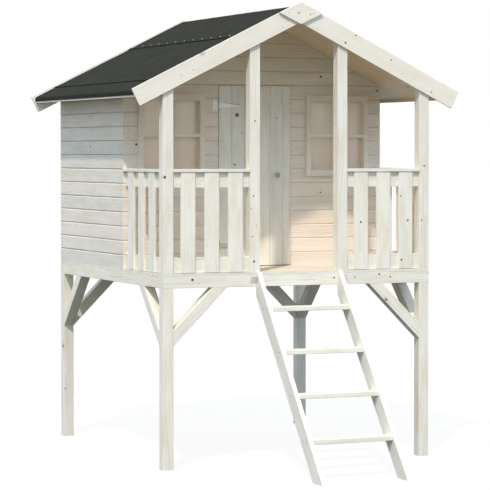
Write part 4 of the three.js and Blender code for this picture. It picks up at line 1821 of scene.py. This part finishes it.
@dataclass
class Felt:
    """Strips of felt, each over the next lower one, folded down at the eaves and bent over the ridge.

    Attributes:
        shop: The nodes, finishes and tools.
        pitch: Slope of the roof.
        thickness: Thickness of the felt.
        drip: How much deeper than its solid the fold at the eave hangs.
        lower_lap: Half width at which the lowest strip comes out from under the next.
        ridge_lap: Half width that the strip over the ridge covers.
        hidden: How far a strip runs on under the next, in half width.
        lifts: Heights of the lowest, middle and ridge strips above the boards.
        pillow: How far the felt stands off the boards at most.
        pillow_size: Width of these bumps.
        curl: How far a lapped edge lifts.
        bend: Radius of the bends at ridge and eaves.
        rows: Faces along a strip.
        column: Width of its faces.
        nail_spacing: Between the nails of a lap.
        nail_inset: From a lap's edge to its nails.
        end_inset: From a lap's end to its first nail.
        cad_rise: How far the CAD's ridge strip stands above the boards, square to the slope.
        snap: How close a point counts as on a line.
    """

    shop: Shop
    pitch: float
    thickness: float = 0.002
    drip: float = 0.0025
    lower_lap: float = 0.977
    ridge_lap: float = 0.42
    hidden: float = 0.07
    lifts: tuple[float, float, float] = (0.0003, 0.0024, 0.0045)
    pillow: float = 0.003
    pillow_size: float = 0.22
    curl: float = 0.003
    bend: float = 0.006
    rows: int = 48
    column: float = 0.03
    nail_spacing: float = 0.15
    nail_inset: float = 0.03
    end_inset: float = 0.05
    cad_rise: float = 0.0046
    snap: float = 0.001

    def build(self) -> None:
        """Lays all strips in place of the CAD nodes and nails their laps."""
        texture = bpy.data.textures.new("felt pillows", "CLOUDS")
        texture.noise_scale = self.pillow_size
        lowest, middle, top = self.lifts
        lower = []
        sheets = []
        for side in Side:
            node = f"felt_{side.word}"
            low, high = corners(node)
            run = (low.y, high.y)
            eave = max(abs(low.x), abs(high.x)) - self.thickness
            drop = eave * math.tan(self.pitch) + self.thickness / math.cos(self.pitch)
            fold = high.z - drop - low.z + self.drip
            sheet = self._strip(side, run, (self.lower_lap - self.hidden, eave), lowest, fold)
            sheets.append((sheet, f"felt_strip_lowest_{side.word}", node))
            sheet = self._strip(side, run, (self.ridge_lap - self.hidden, self.lower_lap), middle)
            sheets.append((sheet, f"felt_strip_middle_{side.word}", node))
            lower += self._nail_row(sheet, side, self.lower_lap, run)
        low, high = corners("felt_ridge")
        run = (low.y, high.y)
        reach = (-top * math.sin(self.pitch), self.ridge_lap)
        halves = [self._strip(side, run, reach, top) for side in Side]
        ridge = self.shop.tools.join(halves, "felt_strip_ridge")
        self._bend_ridge(ridge)
        sheets.append((ridge, ridge.name, "felt_ridge"))
        upper = [place for side in Side for place in self._nail_row(ridge, side, self.ridge_lap, run)]
        for sheet, name, node in sheets:
            self._thicken(sheet, name, texture)
            self.shop.fit(sheet, HOUSE_BODY, "roofing_felt", self.shop.finishes.felt())
            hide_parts(node)
        self.shop.nails("felt_nails_upper", upper, radius=0.0045, proud=0.0045, tint=srgb(170, 172, 168))
        self.shop.nails("felt_nails_lower", lower, radius=0.004, proud=0.0045, tint=srgb(88, 90, 86))

    def _ridge_height(self) -> float:
        """Height of the roof boards' topside at the ridge."""
        return corners("felt_ridge")[1].z - self.cad_rise / math.cos(self.pitch)

    def _strip(self, side: Side, run: Span, reach: Span, lift: float, fold: float = 0.0) -> Piece:
        """A strip on one slope, as a sheet without thickness.

        Args:
            side: The slope.
            run: Front and rear end.
            reach: Its upper and lower edge as half widths.
            lift: Its height above the boards.
            fold: How far its lower edge is folded down, or zero for one that curls up.

        Returns:
            The sheet.
        """
        tools = self.shop.tools
        near, far = (each / math.cos(self.pitch) for each in reach)
        columns = round((far - near) / self.column)
        tools.clear()
        bpy.ops.mesh.primitive_grid_add(x_subdivisions=columns, y_subdivisions=self.rows, size=1.0)
        sheet = bpy.context.active_object
        bpy.ops.object.mode_set(mode="EDIT")
        bpy.ops.mesh.select_all(action="SELECT")
        bpy.ops.transform.resize(value=(far - near, run[1] - run[0], 1))
        bpy.ops.transform.translate(value=((near + far) / 2, 0, lift))
        bpy.ops.object.mode_set(mode="OBJECT")
        if not fold:
            tools.pick(sheet, Part.POINT, lambda point: point.co.x > far - self.snap)
            bpy.ops.transform.translate(value=(0, 0, self.curl))
            bpy.ops.object.mode_set(mode="OBJECT")
        turn = Matrix.Rotation(0.0 if side is Side.RIGHT else math.pi, 4, "Z")
        place = Matrix.Translation((0, (run[0] + run[1]) / 2, self._ridge_height()))
        sheet.data.transform(place @ turn @ Matrix.Rotation(self.pitch, 4, "Y"))
        if fold:
            edge = reach[1] - self.snap
            tools.pick(sheet, Part.POINT, lambda point: abs(point.co.x) > edge)
            bpy.ops.mesh.extrude_region_move(TRANSFORM_OT_translate={"value": (0, 0, -fold)})
            bpy.ops.object.mode_set(mode="OBJECT")
            points = [point for point in sheet.data.vertices if abs(point.co.x) > edge]
            middle = min(point.co.z for point in points) + fold / 2
            bend = {point.index for point in points if point.co.z > middle}
            tools.pick(sheet, Part.EDGE, lambda edge: set(edge.vertices) <= bend)
            bpy.ops.mesh.bevel(offset=self.bend, segments=3, affect="EDGES")
            bpy.ops.object.mode_set(mode="OBJECT")
        return sheet

    def _bend_ridge(self, sheet: Piece) -> None:
        """Joins the two slopes of the ridge strip in a soft bend.

        Args:
            sheet: The strip.
        """
        tools = self.shop.tools
        tools.pick(sheet, Part.POINT, always)
        bpy.ops.mesh.remove_doubles(threshold=self.snap)
        bpy.ops.object.mode_set(mode="OBJECT")
        ridge = {point.index for point in sheet.data.vertices if abs(point.co.x) < self.snap}
        tools.pick(sheet, Part.EDGE, lambda edge: set(edge.vertices) <= ridge)
        bpy.ops.mesh.bevel(offset=self.bend * 2, segments=4, affect="EDGES")
        bpy.ops.object.mode_set(mode="OBJECT")

    def _thicken(self, sheet: Piece, name: str, texture: bpy.types.Texture) -> None:
        """Lets a sheet pillow a little and gives it its thickness.

        Args:
            sheet: The sheet.
            name: The piece's name.
            texture: Where it pillows.
        """
        tools = self.shop.tools
        tools.pick(sheet, Part.POINT, always)
        bpy.ops.mesh.normals_make_consistent(inside=False)
        bpy.ops.object.mode_set(mode="OBJECT")
        if sum(face.normal.z for face in sheet.data.polygons) < 0:
            sheet.data.flip_normals()
        tools.named(sheet, name)
        pillow = sheet.modifiers.new("pillow", "DISPLACE")
        pillow.texture = texture
        pillow.mid_level = 0.0
        pillow.strength = self.pillow
        solid = sheet.modifiers.new("thickness", "SOLIDIFY")
        solid.thickness = self.thickness
        solid.offset = 1.0
        tools.clear()
        sheet.select_set(True)
        bpy.context.view_layer.objects.active = sheet
        for modifier in ("pillow", "thickness"):
            bpy.ops.object.modifier_apply(modifier=modifier)
        tools.smooth(sheet, degrees=40)

    def _nail_row(self, sheet: Piece, side: Side, edge: float, run: Span) -> list[Matrix]:
        """Places of the nails along a lap.

        Args:
            sheet: The strip that they go through.
            side: The slope.
            edge: Half width of the lap's edge.
            run: Front and rear end.

        Returns:
            The places.
        """
        normal = Vector((math.sin(self.pitch) * side.value, 0, math.cos(self.pitch)))
        x = (edge - self.nail_inset) * side.value
        height = self._ridge_height() - abs(x) * math.tan(self.pitch)
        count = int((run[1] - run[0]) / self.nail_spacing)
        above = normal * 0.1
        places = []
        for y in steps(run[0] + self.end_inset, run[1] - self.end_inset, count):
            hit, place, _, _ = sheet.ray_cast(Vector((x, y, height)) + above, -normal)
            if hit:
                places.append(facing(tuple(place), tuple(normal)))
        return places


@dataclass
class Roof:
    """Boards, felt, bargeboards and apex plate.

    Attributes:
        shop: The nodes, finishes and tools.
        pitch: Slope of the roof.
        lath_width: Width of the lath at the eave.
        board_seam: Half width of the dark line in the boards' joints.
        screws: Where a bargeboard is screwed: from the middle, and down from its top edge.
        apex_screw: From the middle to the apex plate's screws.
    """

    shop: Shop
    pitch: float = math.radians(ROOF_PITCH)
    lath_width: float = 0.02
    board_seam: float = 0.0006
    screws: tuple[Span, ...] = ((0.122, 0.105), (0.735, 0.080), (0.817, 0.072))
    apex_screw: float = 0.085

    def build(self) -> None:
        """Dresses the roof and nails the felt."""
        shop = self.shop
        pine = shop.finishes.pine
        for side, slope in ((Side.LEFT, Grain.ROOF_LEFT), (Side.RIGHT, Grain.ROOF_RIGHT)):
            node = f"roof_panel_{side.word}"
            low, high = corners(node)
            boards = Boarding(axis=1, start=low.y, seam=self.board_seam)
            eave = max(high.x, -low.x) - self.lath_width
            # The boards take the darkened pine as painted shade; the eave laths' outward faces take the
            # darkened glaze as painted shade, their other faces the darkened pine.
            underside = pine(ROOF_PINE_PAINTED_SHADE, slope, boards, KNOTS.get(node))
            shop.split_node(
                node,
                [underside, pine(ROOF_PINE_PAINTED_SHADE, Grain.DEEP), pine(GLAZE_PAINTED_SHADE, Grain.DEEP)],
                lambda face: int(abs(face.center.x) > eave) + int(face.normal.x * side.value > 0.9),
            )
            shop.pine_node(f"bargeboard_front_{side.word}", slope, TRIM)
            node = f"bargeboard_rear_{side.word}"
            # Painted highlight on the rear bargeboards' forward faces; their other faces keep the glaze.
            finishes = [pine(PAINTED_SUNLIT, slope), pine(GLAZED, slope)]
            shop.split_node(node, finishes, lambda face: int(face.normal.y > -0.5))
            shop.soften(node)
        shop.pine_node("apex_plate", Grain.ACROSS, TRIM)
        Felt(shop, self.pitch).build()
        self._screw_bargeboards()

    def _screw_bargeboards(self) -> None:
        """Screws through the bargeboards and the apex plate."""
        places = []
        for end in End:
            low, high = corners(f"bargeboard_{end.word}_left")
            face = low.y if end is End.FRONT else high.y
            for x, drop in self.screws:
                for side in Side:
                    height = high.z - x * math.tan(self.pitch) - drop
                    places.append(facing((x * side.value, face, height), (0, end.value, 0)))
        low, high = corners("apex_plate")
        for side in Side:
            place = (self.apex_screw * side.value, low.y, (low.z + high.z) / 2)
            places.append(facing(place, (0, -1, 0)))
        self.shop.nails("bargeboard_screws", places, radius=0.0032)


@dataclass
class Ladder:
    """Stringers, treads and brackets.

    Attributes:
        shop: The nodes, finishes and tools.
        treads: How many treads it has.
        screws: Where a tread is screwed, as shares of its depth.
    """

    shop: Shop
    treads: int = 4
    screws: tuple[float, ...] = (0.3, 0.7)

    def build(self) -> None:
        """Dresses the ladder and screws its treads."""
        places = []
        for side in Side:
            self.shop.pine_node(f"ladder_stringer_{side.word}", Grain.LADDER, LADDER)
            dress(self.shop.nodes[f"ladder_bracket_{side.word}"], self.shop.finishes.steel(BRACKET_ZINC))
        for number in range(1, self.treads + 1):
            name = f"ladder_tread_{number}"
            self.shop.pine_node(name, Grain.ACROSS)
            low, high = corners(name)
            for side in Side:
                left, right = corners(f"ladder_stringer_{side.word}")
                face = left.x if side is Side.LEFT else right.x
                for share in self.screws:
                    place = (face, low.y + (high.y - low.y) * share, (low.z + high.z) / 2)
                    places.append(facing(place, (side.value, 0, 0)))
        self.shop.nails("ladder_screws", places, radius=0.004)


@dataclass
class Studio:
    """Floor, light and camera.

    Attributes:
        sun_from: Direction from the object towards the sun lamp.
        sun_strength: Its strength.
        sun_angle: How wide it is in the sky, in degrees.
        sun_colour: Its colour.
        sky_strength: Strength of the even light from all round.
        sky_colour: Its colour.
        floor_bounce: How much of each colour the floor throws back on the object.
        floor_seen: The floor's own shade where it is seen.
        floor_glow: How much of the floor is white of itself where it is seen, which leaves a faint shadow.
        floor_size: Length of its sides.
        floor_level: Its height.
        eye: The camera's place.
        yaw: Its turn from +Y towards +X, in radians.
        dip: Its tilt below the horizon, in radians.
        focal: Its focal length in pixels of the photograph.
        rise: How far its axis meets the photograph above the middle, in pixels.
        frame: Width of the photograph in pixels.
        sensor: Width of the camera's sensor in millimetres.
    """

    sun_from: Place = (-0.461, -0.62, 1.0)
    sun_strength: float = 2.55
    sun_angle: float = 1.6
    sun_colour: Colour = (1.0, 0.88, 0.755)
    sky_strength: float = 1.08
    sky_colour: Colour = (0.78, 0.89, 1.0)
    floor_bounce: Colour = (0.078, 0.078, 0.055)
    floor_seen: Colour = (0.82, 0.82, 0.82)
    floor_glow: float = 0.92
    floor_size: float = 400.0
    floor_level: float = -0.0005
    eye: Place = (-6.1077, -13.9013, 1.9935)
    yaw: float = 0.4043
    dip: float = 0.0303
    focal: float = 2296.5
    rise: float = 22.5
    frame: int = 490
    sensor: float = 36.0

    def build(self) -> None:
        """Sets everything up."""
        self._floor()
        self._sky()
        self._sun()
        self._camera()
        bpy.context.scene.view_settings.view_transform = "Standard"

    @staticmethod
    def _start(made: Union[Material, bpy.types.World]) -> tuple[Graph, Socket]:
        """Starts the graph of a material or world.

        Args:
            made: The material or world.

        Returns:
            The graph, and 1 for a ray of the camera, of a reflection or through glass.
        """
        made.use_nodes = True
        made.node_tree.nodes.clear()
        graph = Graph(made.node_tree)
        path = graph.node("ShaderNodeLightPath").outputs
        seen = graph.math("MAXIMUM", path["Is Camera Ray"], path["Is Glossy Ray"])
        return graph, graph.math("MAXIMUM", seen, path["Is Transmission Ray"])

    def _floor(self) -> None:
        """A plain pale floor that keeps the shadow."""
        bpy.ops.object.select_all(action="DESELECT")
        bpy.ops.mesh.primitive_plane_add(size=self.floor_size, location=(0, 0, self.floor_level))
        floor = bpy.context.active_object
        floor.name = "floor"
        material = bpy.data.materials.new("pale floor")
        graph, seen = self._start(material)
        colour = graph.mix(seen, self.floor_bounce, self.floor_seen)
        diffuse = graph.node("ShaderNodeBsdfDiffuse", {"Color": colour})
        glow = graph.node("ShaderNodeEmission", {"Strength": 1.0})
        share = graph.times(seen, self.floor_glow)
        blend = graph.node("ShaderNodeMixShader", {0: share, 1: diffuse.outputs[0], 2: glow.outputs[0]})
        graph.node("ShaderNodeOutputMaterial", {"Surface": blend.outputs[0]})
        floor.data.materials.append(material)

    def _sky(self) -> None:
        """Even light from all round, white where it is seen."""
        world = bpy.data.worlds.new("studio")
        bpy.context.scene.world = world
        graph, seen = self._start(world)
        colour = graph.mix(seen, self.sky_colour, (1.0, 1.0, 1.0))
        strength = graph.line(seen, 1.0 - self.sky_strength, self.sky_strength)
        light = graph.node("ShaderNodeBackground", {"Color": colour, "Strength": strength})
        graph.node("ShaderNodeOutputWorld", {"Surface": light.outputs[0]})

    def _sun(self) -> None:
        """The sun lamp, from the front left."""
        lamp = bpy.data.lights.new("sun", "SUN")
        lamp.energy = self.sun_strength
        lamp.angle = math.radians(self.sun_angle)
        lamp.color = self.sun_colour
        holder = bpy.data.objects.new("sun", lamp)
        holder.rotation_euler = Vector(self.sun_from).to_track_quat("Z", "Y").to_euler()
        bpy.context.scene.collection.objects.link(holder)

    def _camera(self) -> None:
        """The camera at the photograph's viewing angle."""
        lens = bpy.data.cameras.new("camera")
        lens.sensor_width = self.sensor
        lens.lens = self.focal / self.frame * self.sensor
        lens.shift_y = -self.rise / self.frame
        lens.clip_end = self.floor_size
        holder = bpy.data.objects.new("camera", lens)
        holder.location = self.eye
        holder.rotation_euler = (math.pi / 2 - self.dip, 0.0, -self.yaw)
        bpy.context.scene.collection.objects.link(holder)
        bpy.context.scene.camera = holder


def main() -> None:
    """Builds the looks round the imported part."""
    logging.basicConfig(level=logging.INFO, format="%(message)s")
    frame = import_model()
    shop = Shop(frame["nodes"], Finishes(Effects()), Modelling())
    for assembly in (Platform(shop), Porch(shop), Cabin(shop), Door(shop), Roof(shop), Ladder(shop)):
        assembly.build()
        LOG.info("built %s", type(assembly).__name__)
    Studio().build()


if __name__ == "__main__":
    main()
